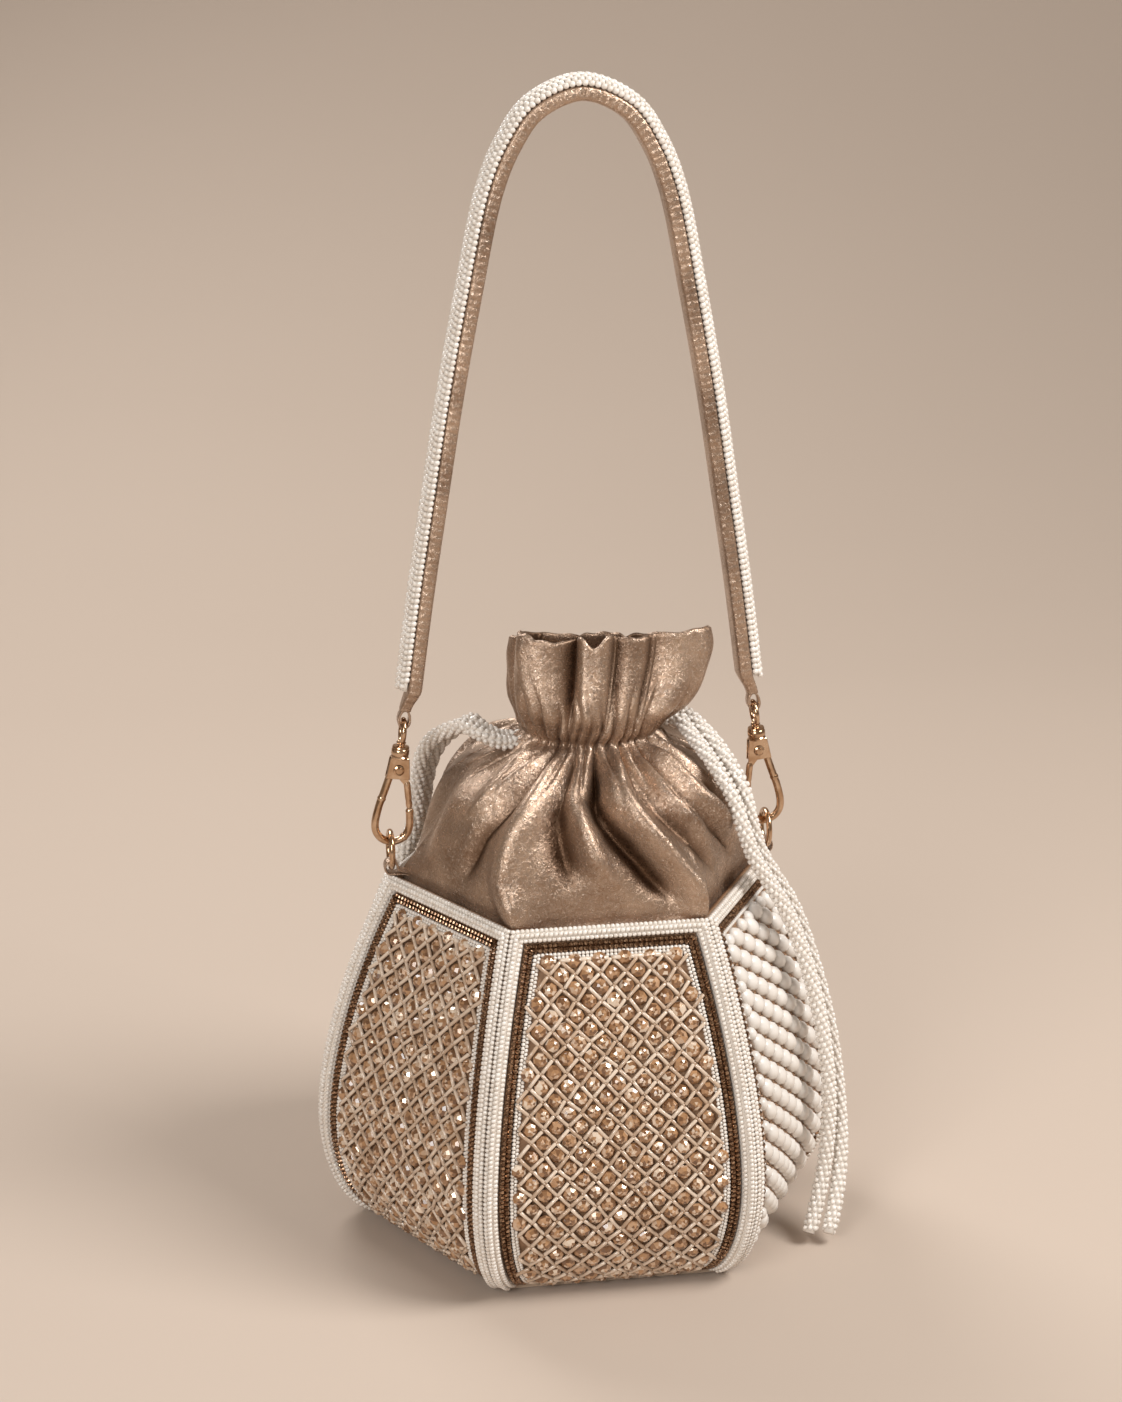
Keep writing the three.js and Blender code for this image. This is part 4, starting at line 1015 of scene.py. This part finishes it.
def top_folds(radius, z, hexness, degrees):
    """The top's outer face before its folds, rounded from a hexagon to a circle with a dip
    behind each hook, and the height of its ridges, creases and puffs over it, which rise less
    beside the hooks so that the handle can swing."""
    turn = np.radians(degrees)
    r = radius * (1 + hexness * (hexagon_radius(turn) - 1))
    r = r - hook_dip(r * np.sin(turn), z)
    calm = 1 - smoothstep(z, NECK_HEIGHT - NECK_SPAN, NECK_HEIGHT)
    ridges = fold_lines(SHOULDER_RIDGES, degrees, z, r, 2.3, 0.15)
    creases = fold_lines(SHOULDER_CREASES, degrees, z, r, 1.5, 0.12)
    small = 0.4 * smoothstep(z, 126, 140) * ripple(degrees, z, 3)
    neck = np.exp(-(((z - 171) / 7.5) ** 2))
    below = 1.6 * smoothstep(z, 150, 168) * calm
    over = 2.4 * smoothstep(z, 174, 181) * (1 - smoothstep(z, 182, 200))
    puffs = (4.2 * neck + below + over) * neck_puffs(degrees, z)
    waist = 2.6 * np.exp(-(((z - 173.5) / 2.2) ** 2))
    folds = calm * (ridges - creases + small) + puffs
    room = smoothstep(np.abs(np.cos(turn)), 0.78, 0.93) * (1 - smoothstep(z, 166, 174))
    return r - waist, np.where(folds > 0, folds * (1 - room), folds)


def lip_rise(degrees):
    """How much higher than its outline the lip stands: small waves, a slant and the listed
    lifts, each a bell round the lip."""
    rise = 0.6 * ripple(degrees, 0, 21)
    rise = rise + LIP_SLANT * np.cos(np.radians(degrees - LIP_SLANTS_TO)) - LIP_SLANT / 2
    for middle, half, height in LIP_LIFTS:
        rise = rise + height * np.exp(-((apart(degrees, middle) / half) ** 2))
    return rise


def top_shell(columns=480, rows=112):
    """The gathered top as one closed cloth: up its outer face from the hem to the lip of the
    ruffle, over, and down its inner face through the throat to the hem again. Folds stand along
    the outline's normal below the neck and straight out above it, and the mouth is squeezed
    front to back."""
    slant = HEM_INSET / math.cos(HALF_ANGLE)
    hem = [(float(body_radius(112)) - slant, 112, 1, 0), (RIM_RADIUS - slant, RIM_HEIGHT, 1, 0)]
    outline = smooth_line(np.array(hem + TOP_OUTLINE, float), rows)
    degrees = np.linspace(0, 360, columns, endpoint=False)[None]
    radius, z, hexness, ruffled = (outline[:, k : k + 1] for k in range(4))
    plain_radius, folds = top_folds(radius, z, hexness, degrees)
    slope_r, slope_z = np.gradient(radius[:, 0]), np.gradient(z[:, 0])
    steep = np.hypot(slope_r, slope_z)
    low = 1 - smoothstep(z, 170, 176)
    push_r = 1 + low * ((slope_z / steep)[:, None] - 1)
    push_z = -low * (slope_r / steep)[:, None]
    ruffle = ruffle_fold(degrees) + 0.4 * ripple(degrees, z, 8)
    outer = plain_radius + push_r * folds + ruffled * ruffle
    lift = smoothstep(z, 184, LIP_HEIGHT) * lip_rise(degrees)
    squeeze = 1 - 0.32 * smoothstep(z, 178, 204)
    height = z + lift + push_z * folds
    turn = np.radians(degrees)
    middle = lean(z)

    def place(r, up, along, flat):
        return np.stack([along + r * np.cos(turn), flat * r * np.sin(turn), up + 0 * r], -1)

    face = place(outer, height, middle, squeeze)
    lip = place(outer[-1:] - 1.1, height[-1:] + 0.7, middle[-1:], squeeze[-1:])
    down = np.arange(rows)[::-1][::2]
    zi = z[down]
    wall = 1.2 + smoothstep(zi, 202, 206)
    throat = THROAT_RADIUS * (1 + 0.1 * np.cos(14 * turn))
    drawn = (1 - smoothstep(zi, 181, 193)) * smoothstep(zi, 163, 167)
    inner = (outer[down] - wall) * (1 - drawn) + throat * drawn
    inside = place(inner, height[down], middle[down], squeeze[down])
    rings = np.concatenate([face, lip, inside])
    points = rings.reshape(-1, 3)
    faces = grid_faces(len(rings), columns, wrap=True, close=True)
    # Painted light for the foil: the tone rises on the ridges and the ruffle's lobes, falls in the
    # creases and valleys, and is cut to 0.6 on the inner face as painted shade inside the bag.
    painted_fold_light = np.clip(0.5 + 0.11 * folds + 0.055 * ruffled * (ruffle - 1), 0, 1)
    painted_fold_light = np.concatenate([painted_fold_light, painted_fold_light[-1:], 0.6 * painted_fold_light[down]])
    return points, outward(points, faces), painted_fold_light.ravel()


def rope_line(word, which, count=240):
    """The route of one rope: out of its eyelet, over the shoulder and down past the belly."""
    side = 1 if word == "right" else -1
    height = LOOP_HEIGHTS[word]
    exits = [
        (NECK_SHIFT + side * (EXIT_REACH + run), side * which * EXIT_SPREAD, height)
        for run in (0, 4, 8)
    ]
    x, y, z, turn = np.array(ROPE_ROUTES[word], float).T
    beside = which * (ROPE_RADIUS + ROPE_GAP)
    x = side * (x + beside * np.cos(np.radians(turn)))
    y = side * (y + beside * np.sin(np.radians(turn)))
    return smooth_line(np.vstack([exits, np.stack([x, y, z], -1)]), count)


def beaded_rope(line, seed):
    """A rope of seed beads wound in a spiral round a cord: bead k stands at the turn
    2 pi k / BEADS_A_TURN, ROPE_PITCH further along than the last."""
    count = int(line_length(line) / ROPE_PITCH)
    fine = evenly(line, 4 * count)
    across, out = line_axes(fine)
    k = np.arange(2, count - 2)
    at = 4 * k
    along = heading(fine)[at]
    turn = 2 * np.pi * k / BEADS_A_TURN
    away = np.cos(turn)[:, None] * across[at] + np.sin(turn)[:, None] * out[at]
    first = unit(along + ROPE_LEAN * np.cross(away, along))
    axes = np.stack([first, np.cross(away, first), away], 1)
    tones = seeded(seed)(len(k))
    places = fine[at] + ROPE_BEADS_OUT * away
    beads = scatter(SEED, places, axes, ROPE_SEED, 0.35 + 0.65 * tones)
    return gather(beads, toned(tube(evenly(line, 60), ROPE_CORE, 10), 0.6))


def strap_line():
    """The strap's middle line from one eye over the arch to the other."""
    x, z = np.array(STRAP_ROUTE, float).T
    half = np.stack([x * PIVOT_X, 0 * x, PIVOT_Z + z * (STRAP_TOP - PIVOT_Z)], -1)
    return smooth_line(np.vstack([half, half[:-1][::-1] * [-1, 1, 1]]), 900)


def strap_out(line):
    """The direction out of the arch at each point of a line in the plane of x and z."""
    along = heading(line)
    return np.stack([along[:, 2], 0 * along[:, 0], -along[:, 0]], -1)


def end_loop(way):
    """The flat band at the strap's end, round the top wire of the eye."""
    turn = full_turn(40)
    u = 1.85 * np.cos(turn)
    v = np.where(np.sin(turn) < 0, 2.6, 3.6) * np.sin(turn) + 0.2
    c, s = math.cos(HOOK_LEAN), math.sin(HOOK_LEAN)
    loop = np.stack([way * (PIVOT_X + u * c - v * s), 0 * u, PIVOT_Z + u * s + v * c], -1)
    closed = np.vstack([loop[-1:], loop, loop[:1]])
    along = unit(closed[2:] - closed[:-2])
    side = np.broadcast_to(SIDEWAYS, along.shape)
    section = [(-2, -0.35), (2, -0.35), (2.1, 0), (2, 0.35), (-2, 0.35), (-2.1, 0)]
    return round_trip(loop, section, side, np.cross(along, side))


def strap_cloth_shell():
    """The strap's cloth: a flat rounded section, puckered along its edges, that narrows to each
    end, and a loop round the top wire of each eye."""
    line = strap_line()
    length = np.linspace(0, line_length(line), len(line))
    near = np.minimum(length, length[::-1])
    keep = near > STRAP_GAP
    line, near = line[keep], near[keep]
    share = smoothstep(near, STRAP_GAP, STRAP_TAPER)[:, None]
    half, low, high = (
        end + (middle - end) * share for end, middle in ((2.2, 5), (-1.9, -4.5), (1.9, 0.4))
    )
    turn = full_turn(28)[None]
    across = squared(np.cos(turn), 0.45)
    pucker = 0.12 * np.sin(near[:, None] * 2.6) * np.abs(across) ** 3
    s = half * across * (1 - 0.02 * share) + pucker * np.sign(across)
    h = (high + low) / 2 + (high - low) / 2 * squared(np.sin(turn), 0.45)
    rings = line[:, None] + s[..., None] * SIDEWAYS + h[..., None] * strap_out(line)[:, None]
    return gather(capped(rings), end_loop(1), end_loop(-1))


def strap_bead_shell():
    """Seed beads in staggered rows on a half-round core along the outside of the strap, the
    outer rows a little shorter."""
    line = strap_line()
    total = line_length(line)
    length = np.linspace(0, total, len(line))
    out = strap_out(line)
    count = int((total - 18) / STRAP_PITCH)
    tones = seeded(501)
    shells = []
    angles = np.radians(np.linspace(-82, 82, STRAP_ROWS))
    for row, angle in enumerate(angles):
        end = STRAP_BEADS_FROM + 2.4 * (angle / angles[-1]) ** 2
        at = end + (np.arange(count) + 0.5 * (row % 2)) * (total - 2 * end - 1) / count
        middle, along, up = (
            np.stack([np.interp(at, length, column) for column in values.T], -1)
            for values in (line, heading(line), out)
        )
        along, up = unit(along), unit(up)
        c, s = math.cos(angle), math.sin(angle)
        places = middle + 4.0 * s * SIDEWAYS + (0.9 + 2.55 * c) * up
        away = unit(s * SIDEWAYS + c * up)
        axes = np.stack([along, np.cross(away, along), away], 1)
        shells.append(scatter(SEED, places, axes, STRAP_SEED, tones(count)))
    inside = (length > 9.9) & (length < total - 9.9)
    line, out = line[inside][::4], out[inside][::4]
    turn = np.radians(np.linspace(-90, 90, 11))[None, :, None]
    s, h = 4.1 * np.sin(turn), 0.8 + 2.3 * np.cos(turn)
    core = line[:, None] + s * SIDEWAYS + h * out[:, None]
    return gather(toned(capped(core), 0.3), *shells)


def hung(shell, way):
    """A piece of a hook, drawn upright from its seat, leant inwards and moved to its side; the
    left one is the right one turned half round."""
    x, y, z = shell[0].T
    c, s = math.cos(HOOK_LEAN), math.sin(HOOK_LEAN)
    wx = RING_OFFSET + x * c - z * s
    wz = RING_HEIGHT + HOOK_SEAT + x * s + z * c
    return (np.stack([way * wx, way * y, wz], -1), *shell[1:])


def wire_ring(radius, wire):
    """A round wire ring in the plane of y and z, about the origin."""
    turn, around = full_turn(56)[:, None], full_turn(WIRE_SIDES)[None]
    reach = radius + wire * np.cos(around)
    rings = [wire * np.sin(around) + 0 * turn, reach * np.cos(turn), reach * np.sin(turn)]
    points = np.stack(rings, -1).reshape(-1, 3)
    return points, outward(points, grid_faces(56, WIRE_SIDES, wrap=True, close=True))


def moved(shell, offset):
    return (shell[0] + np.asarray(offset, float), *shell[1:])


def plate(outline, thickness, bevel=0.18):
    """A flat plate in x and z from its outline, thickened to both sides of y = 0, its edge
    narrowed by the bevel on both faces."""
    outline = np.asarray(outline, float)
    middle = outline.mean(0)
    small = middle + (outline - middle) * (1 - bevel / np.abs(outline - middle).max())
    half = thickness / 2
    rings = []
    levels = [(small, -half), (outline, bevel - half), (outline, half - bevel), (small, half)]
    for points, y in levels:
        rings.append(np.insert(points, 1, y, axis=1))
    return capped(np.stack(rings))


def hook_shell():
    """The snap hook: a wire round the bottom and up to the nose, two cheeks with a rim, and a
    swivel barrel with turned grooves."""
    turn = np.radians([0, -30, -60, -90, -120, -150, -180])
    bottom = HOOK_BEND * np.stack([np.cos(turn), 0 * turn, 1 + np.sin(turn)], -1)
    points = np.vstack([[(2.6, 0, 23.3), (3.9, 0, 17.5), (5.2, 0, 12)], bottom, [(-5.2, 0, 12)]])
    wire = smooth_line(points, 70)
    thick = np.full(70, HOOK_WIRE)
    thick[-3:] = [1.38, 1.38, 1.0]
    shells = [tube(wire, thick, WIRE_SIDES)]
    for at in (14, 52):
        shells.append(tube(wire[at - 1 : at + 2], [1.35, 1.52, 1.35], WIRE_SIDES))
    outline = [
        (-4, 22.5), (4, 22.5), (4, 23), (3.2, 29.4), (2.8, 29.9), (-2.8, 29.9), (-3.2, 29.4),
        (-4, 23),
    ]
    for way in (-1, 1):
        shells.append(moved(plate(outline, 0.8), (0, way * 1.3, 0)))
    barrel = [
        (2.2, 29.3), (2.9, 29.6), (3, 30.2), (2.7, 30.6), (3, 31), (3, 32.6), (2.7, 33),
        (2.9, 33.3), (2.7, 33.8), (1.7, 34),
    ]
    shells.append(turned(barrel, 28))
    return gather(*shells)


def gate_shell():
    """The gate: a bar from its tongue at the rivet down to the nose, with a collar at its end."""
    low, high = np.array([-5.1, 0, 12.4]), np.array([-3.3, 0, 21.3])
    line = low + (high - low) * np.linspace(0, 1, 12)[:, None]
    thick = np.full(12, 1.15)
    thick[[0, 3, -1]] = [0.9, 1.02, 0.9]
    tongue = [
        (-4.2, 20.3), (-2.4, 20.3), (2, 24.9), (2, 26.7), (1, 27.7), (-1.2, 27.7), (-2.6, 26.5)
    ]
    return gather(tube(line, thick, WIRE_SIDES), plate(tongue, 1.2))


def rivet_shell():
    """The rivet: a pin with a domed head on each side, each with a turned ring."""
    head = [(0.9, 2), (1.8, 2.02), (1.75, 2.3), (1.3, 2.55), (1.15, 2.5), (1.05, 2.72), (0.5, 2.8)]
    points, faces = turned([(r, -y) for r, y in head[::-1]] + head, 24)
    points = points[:, [0, 2, 1]] + [0, 0, RIVET_HEIGHT]
    return points, outward(points, faces)


def eye_shell():
    """The swivel eye: a stem out of the barrel under a round wire eye."""
    stem = turned([(1.9, 31), (1.9, 32), (1.3, 32.2), (1.3, 34.6), (1.7, 35), (1.2, 35.6)], 20)
    return gather(stem, moved(wire_ring(EYE_RADIUS, EYE_WIRE), (0, 0, EYE_MIDDLE)))


def tab_shell(way):
    """The ring's cloth tab: a folded band from inside the rim round the ring's lower wire."""
    low, high = 114.2, 123.6
    slant = HEM_INSET / math.cos(HALF_ANGLE) + 2.5 * math.tan(HALF_ANGLE) + 0.15
    foot, rim = (float(body_radius(z)) - slant - 0.5 for z in (low, high))
    x = RING_OFFSET
    route = [
        (foot, low), (foot + (rim - foot) * 0.5, (low + high) / 2), (rim, high), (rim + 1.0, 124.8),
        (x - 1.2, 125.2), (x + 1, 125.5), (x + 2, 127.0), (x + 1.7, 129), (x + 0.3, 129.9),
        (x - 1.2, 129.6), (x - 2, 128.2), (x - 2.6, 126.6), (rim + 0.2, 125.4),
    ]
    line = smooth_line([(a, 0, b) for a, b in route], 70)
    across, out = line_axes(line)
    turn = full_turn(16)[None, :, None]
    flat, thick = 2.4 * squared(np.cos(turn), 0.4), 0.42 * squared(np.sin(turn), 0.7)
    points, faces = capped(line[:, None] + flat * across[:, None] + thick * out[:, None])
    return points * [way, way, 1], faces


def tint(name, description, *value):
    """A colour in the sidebar, as linear red, green and blue."""
    return bpy.props.FloatVectorProperty(
        name=name, description=description, default=value, subtype="COLOR", min=0, max=1
    )


class PotliColours(bpy.types.PropertyGroup):
    """Colours of the bag's finishes, as linear red, green and blue."""

    foil: tint("Foil", "Foil cloth", 0.47, 0.32, 0.22)
    # Painted highlight: the colour of the pale flecks and glints on the foil's ridges.
    foil_highlight: tint("Foil, light", "Brightest flakes of the foil", 0.95, 0.85, 0.75)
    foil_deep: tint("Foil, deep", "Worn gaps of the foil", 0.24, 0.145, 0.088)
    # Painted shade: the foil's colour in its creases.
    foil_crease_shade: tint("Foil, dark", "Foil in the creases", 0.115, 0.062, 0.034)
    ground: tint("Panel cloth", "Cloth under the beads", 0.40, 0.245, 0.145)
    ground_deep: tint("Panel cloth, deep", "Shaded cloth under the beads", 0.27, 0.155, 0.085)
    satin: tint("Satin", "Lining and base", 0.50, 0.36, 0.25)
    satin_light: tint("Satin, light", "Light patches of the satin", 0.62, 0.47, 0.34)
    bead: tint("White beads", "Cream seed beads", 0.86, 0.80, 0.73)
    bead_shade: tint("White beads, shade", "Darkest of the cream beads", 0.74, 0.66, 0.575)
    pearl: tint("Pearls", "Oval pearls", 0.85, 0.80, 0.74)
    bronze: tint("Bronze", "Darkest bronze beads", 0.12, 0.056, 0.024)
    # The lighter bronze: the light strands of the thread, and the painted glints on the beads'
    # light facets.
    bronze_light_and_glint: tint("Bronze, light", "Lightest bronze beads", 0.66, 0.43, 0.27)
    amber: tint("Stones", "Middle tone of the cut stones", 0.46, 0.25, 0.12)
    # Painted shade on the stones' darkest facets.
    amber_facet_shade: tint("Stones, deep", "Darkest facets of the cut stones", 0.16, 0.072, 0.03)
    # Painted highlight on the stones' lightest facets.
    amber_facet_highlight: tint("Stones, light", "Lightest facets of the cut stones", 0.84, 0.69, 0.54)
    bugle: tint("Bugles", "Deepest of the glass bugles", 0.47, 0.32, 0.21)
    bugle_light: tint("Bugles, light", "Palest of the glass bugles", 0.74, 0.60, 0.47)
    gold: tint("Gold", "Gold plate", 0.47, 0.30, 0.18)
    gold_light: tint("Gold, light", "Worn gold plate", 0.72, 0.53, 0.37)
    floor: tint("Floor", "Floor and backdrop", 0.53, 0.43, 0.35)
    floor_shade: tint("Floor, shade", "Soft shade of the floor", 0.46, 0.365, 0.29)
    far: tint("Background", "What is seen beyond the floor", 0.29, 0.235, 0.185)


def power(name, description, value):
    """A lamp's power in the sidebar, in watts."""
    return bpy.props.FloatProperty(
        name=name, description=description, default=value, min=0, subtype="POWER"
    )


class PotliStage(bpy.types.PropertyGroup):
    """Sizes and powers of the stage."""

    lens: bpy.props.FloatProperty(
        name="Lens", description="Focal length of the camera", default=72.6, min=10,
        subtype="DISTANCE_CAMERA",
    )
    key_power: power("Key light", "Power of the large soft lamp", 19)
    fill_power: power("Fill light", "Power of the lamp opposite", 10)
    back_power: power("Back light", "Power of the lamp behind", 7)
    ambient: bpy.props.FloatProperty(
        name="Ambient", description="Strength of the even light all round", default=0.26, min=0
    )


class POTLI_OT_ropes(bpy.types.Operator):
    """Make the four beaded ropes of the drawstrings"""

    bl_idname = "potli.ropes"
    bl_label = "Drawstring ropes"

    def execute(self, context):
        for word in ("right", "left"):
            for place, which in (("inner", -1), ("outer", 1)):
                name = f"{word}_{place}"
                line = rope_line(word, which)
                shell = beaded_rope(line, 700 + 10 * which + (word == "left"))
                stands_for = [f"drawstring_{name}"]
                rope = make_piece(
                    f"rope_{name}", shell, white_bead, "bag", stands_for
                )
        return {"FINISHED"}


class POTLI_OT_panels(bpy.types.Operator):
    """Make the six beaded panels with their borders"""

    bl_idname = "potli.panels"
    bl_label = "Beaded panels"

    def execute(self, context):
        for number, (name, (degrees, kind)) in enumerate(PANELS.items()):
            facing, seed = math.radians(degrees), 100 + 10 * number
            bronze = bronze_beads(facing, seed + 1, kind == "pearls")
            layers = [
                ("panel_cloth", panel_backing(facing), panel_cloth, "crystal_net", "panel"),
                ("piping_beads", piping_beads(facing, seed), white_bead, "white_beads", "piping"),
                ("bronze_beads", bronze, bronze_bead, "bronze_beads", "bronze_line"),
            ]
            if kind == "net":
                layers += [
                    ("net", net_beads(facing, seed + 2), bugle_glass, "crystal_net", ""),
                    ("inner_seeds", inner_seeds(facing, seed + 4), white_bead, "crystal_net", ""),
                    ("stones", net_stones(facing, seed + 3), amber_crystal, "crystal_net", ""),
                ]
            else:
                stitches = pearl_stitches(facing, seed + 3)
                layers += [
                    ("pearls", pearl_rows(facing, seed + 2), pearl_skin, "white_beads", ""),
                    ("stitches", stitches, bronze_thread, "bronze_beads", ""),
                ]
            for layer, shell, material, slot, node in layers:
                stands_for = [f"{node}_{name}"] if node else []
                smooth = material not in (bronze_bead, amber_crystal)
                make_piece(f"{layer}_{name}", shell, material, "bag", stands_for, smooth)
        return {"FINISHED"}


class POTLI_OT_top(bpy.types.Operator):
    """Make the gathered foil top"""

    bl_idname = "potli.top"
    bl_label = "Gathered top"

    def execute(self, context):
        top = make_piece(
            "foil_top", top_shell(), foil_cloth, "bag", ["gathered_top"]
        )
        return {"FINISHED"}


class POTLI_OT_handle(bpy.types.Operator):
    """Make the handle's strap and its beads"""

    bl_idname = "potli.handle"
    bl_label = "Handle strap"

    def execute(self, context):
        cloth, beads = strap_cloth_shell(), strap_bead_shell()
        strap = make_piece(
            "strap_foil", cloth, foil_cloth, "handle", ["strap_cloth"]
        )
        make_piece(
            "strap_bead_rows", beads, white_bead, "handle", ["strap_beads"]
        )
        return {"FINISHED"}


class POTLI_OT_hardware(bpy.types.Operator):
    """Make the rings, hooks, gates, rivets, eyes and tabs"""

    bl_idname = "potli.hardware"
    bl_label = "Gold hardware"

    def execute(self, context):
        for word, way in (("right", 1), ("left", -1)):
            ring = wire_ring(RING_RADIUS, RING_WIRE)
            ring = moved(ring, (way * RING_OFFSET, 0, RING_HEIGHT))
            pieces = [
                ("wire_ring", ring, "side_ring", "ring"),
                ("snap_frame", hung(hook_shell(), way), "snap_hook", "hook"),
                ("snap_gate", hung(gate_shell(), way), "gate", "hook_gate"),
                ("snap_rivet", hung(rivet_shell(), way), "snap_hook", "gate_rivet"),
                ("snap_eye", hung(eye_shell(), way), "eye", "swivel_eye"),
            ]
            for name, shell, body, node in pieces:
                name, body, node = f"{name}_{word}", f"{body}_{word}", f"{node}_{word}"
                piece = make_piece(name, shell, gold_metal, body, [node])
                piece.data.set_sharp_from_angle(angle=math.radians(40))
            name, node = f"cloth_tab_{word}", f"ring_tab_{word}"
            make_piece(name, gather(tab_shell(way)), foil_cloth, "bag", [node])
        return {"FINISHED"}


class POTLI_OT_inside(bpy.types.Operator):
    """Finish the base board, the lining and the hidden loops of the drawstrings"""

    bl_idname = "potli.inside"
    bl_label = "Lining and base"

    def execute(self, context):
        finishes = {
            "base_board": satin_lining,
            "lining": satin_lining,
            "drawstring_loop_right": white_bead,
            "drawstring_loop_left": white_bead,
        }
        for node, material in finishes.items():
            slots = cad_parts[node].data.materials
            slots.clear()
            slots.append(finish(material))
        return {"FINISHED"}


class POTLI_OT_stage(bpy.types.Operator):
    """Set the camera, the lamps, the floor and the backdrop"""

    bl_idname = "potli.stage"
    bl_label = "Stage"

    def execute(self, context):
        scene = context.scene
        stage = scene.potli_stage
        self.add_camera(scene, stage)
        self.add_floor()
        self.add_lamp("key_lamp", (0.85, -0.45, 1.15), 0.14, 0.7, stage.key_power)
        self.add_lamp("fill_lamp", (-0.75, -1.1, 0.75), 0.12, 0.7, stage.fill_power)
        self.add_lamp("back_lamp", (-0.35, 0.75, 0.95), 0.16, 0.6, stage.back_power)
        self.add_world(scene, stage)
        scene.view_settings.view_transform = "Standard"
        return {"FINISHED"}

    def add_world(self, scene, stage):
        """Even light all round, and a plain background that the camera, metal and glass see."""
        world = bpy.data.worlds.new("studio")
        world.use_nodes = True
        nodes, links = world.node_tree.nodes, world.node_tree.links
        light = nodes["Background"]
        light.inputs["Color"].default_value = (1, 0.95, 0.9, 1)
        light.inputs["Strength"].default_value = stage.ambient
        seen = nodes.new("ShaderNodeBackground")
        seen.inputs["Color"].default_value = (*scene.potli_colours.far, 1)
        path = nodes.new("ShaderNodeLightPath")
        chosen = path.outputs["Is Camera Ray"]
        for name in ("Is Glossy Ray", "Is Transmission Ray"):
            either = nodes.new("ShaderNodeMath")
            either.operation = "MAXIMUM"
            links.new(chosen, either.inputs[0])
            links.new(path.outputs[name], either.inputs[1])
            chosen = either.outputs[0]
        mix = nodes.new("ShaderNodeMixShader")
        links.new(chosen, mix.inputs[0])
        links.new(light.outputs[0], mix.inputs[1])
        links.new(seen.outputs[0], mix.inputs[2])
        links.new(mix.outputs[0], nodes["World Output"].inputs["Surface"])
        scene.world = world

    def add_camera(self, scene, stage):
        camera = bpy.data.cameras.new("camera")
        camera.sensor_fit = "VERTICAL"
        camera.sensor_height = 36
        camera.lens = stage.lens
        camera.clip_start = 0.01
        seen = add_object("camera", camera)
        seen.location = CAMERA_PLACE
        seen.rotation_euler = Euler(
            (math.radians(90 - CAMERA_PITCH), 0, math.radians(-CAMERA_TURN))
        )
        scene.camera = seen

    def add_floor(self):
        """A floor that bends up into a wall: level, then a quarter circle, then upright."""
        turn = np.linspace(0, np.pi / 2, 16)
        bend = FLOOR_BEND
        depth, level = FLOOR_DEPTH, FLOOR_LEVEL
        y = np.concatenate([[-FLOOR_REACH, -depth], depth + bend * np.sin(turn), [depth + bend]])
        z = np.concatenate([[level, level], level + bend * (1 - np.cos(turn)), [WALL_HEIGHT]])
        x = np.linspace(-FLOOR_REACH, FLOOR_REACH, 3)
        points = np.stack(np.broadcast_arrays(x[None], y[:, None], z[:, None]), -1)
        faces = grid_faces(len(y), 3)
        mesh = bpy.data.meshes.new("studio_cove")
        mesh.from_pydata((points.reshape(-1, 3) * MM).tolist(), [], faces.tolist())
        mesh.polygons.foreach_set("use_smooth", np.ones(len(faces), bool))
        mesh.materials.append(finish(studio_floor))
        add_object("studio_cove", mesh)

    def add_lamp(self, name, place, height, size, watts):
        """A round soft lamp that faces a point on the bag's axis at a height."""
        lamp = bpy.data.lights.new(name, "AREA")
        lamp.shape = "DISK"
        lamp.size = size
        lamp.energy = watts
        held = add_object(name, lamp)
        held.location = place
        aim = Vector((0, 0, height)) - Vector(place)
        held.rotation_euler = aim.to_track_quat("-Z", "Y").to_euler()


OPERATORS = [
    POTLI_OT_stage,
    POTLI_OT_ropes,
    POTLI_OT_panels,
    POTLI_OT_top,
    POTLI_OT_handle,
    POTLI_OT_hardware,
    POTLI_OT_inside,
]


class POTLI_PT_panel(bpy.types.Panel):
    """The bag's pieces and stage in the sidebar"""

    bl_label = "Potli bag"
    bl_idname = "POTLI_PT_panel"
    bl_space_type = "VIEW_3D"
    bl_region_type = "UI"
    bl_category = "Potli"

    def draw(self, context):
        for operator in OPERATORS:
            self.layout.operator(operator.bl_idname)
        for group in (context.scene.potli_stage, context.scene.potli_colours):
            for name in group.__annotations__:
                self.layout.prop(group, name)


CLASSES = [PotliColours, PotliStage, *OPERATORS, POTLI_PT_panel]


def register():
    for one in CLASSES:
        bpy.utils.register_class(one)
    bpy.types.Scene.potli_colours = bpy.props.PointerProperty(type=PotliColours)
    bpy.types.Scene.potli_stage = bpy.props.PointerProperty(type=PotliStage)


def unregister():
    del bpy.types.Scene.potli_stage
    del bpy.types.Scene.potli_colours
    for one in reversed(CLASSES):
        bpy.utils.unregister_class(one)


def main():
    register()
    bpy.ops.potli.stage()
    bpy.ops.potli.ropes()
    bpy.ops.potli.panels()
    bpy.ops.potli.top()
    bpy.ops.potli.handle()
    bpy.ops.potli.hardware()
    bpy.ops.potli.inside()


if __name__ == "__main__":
    main()
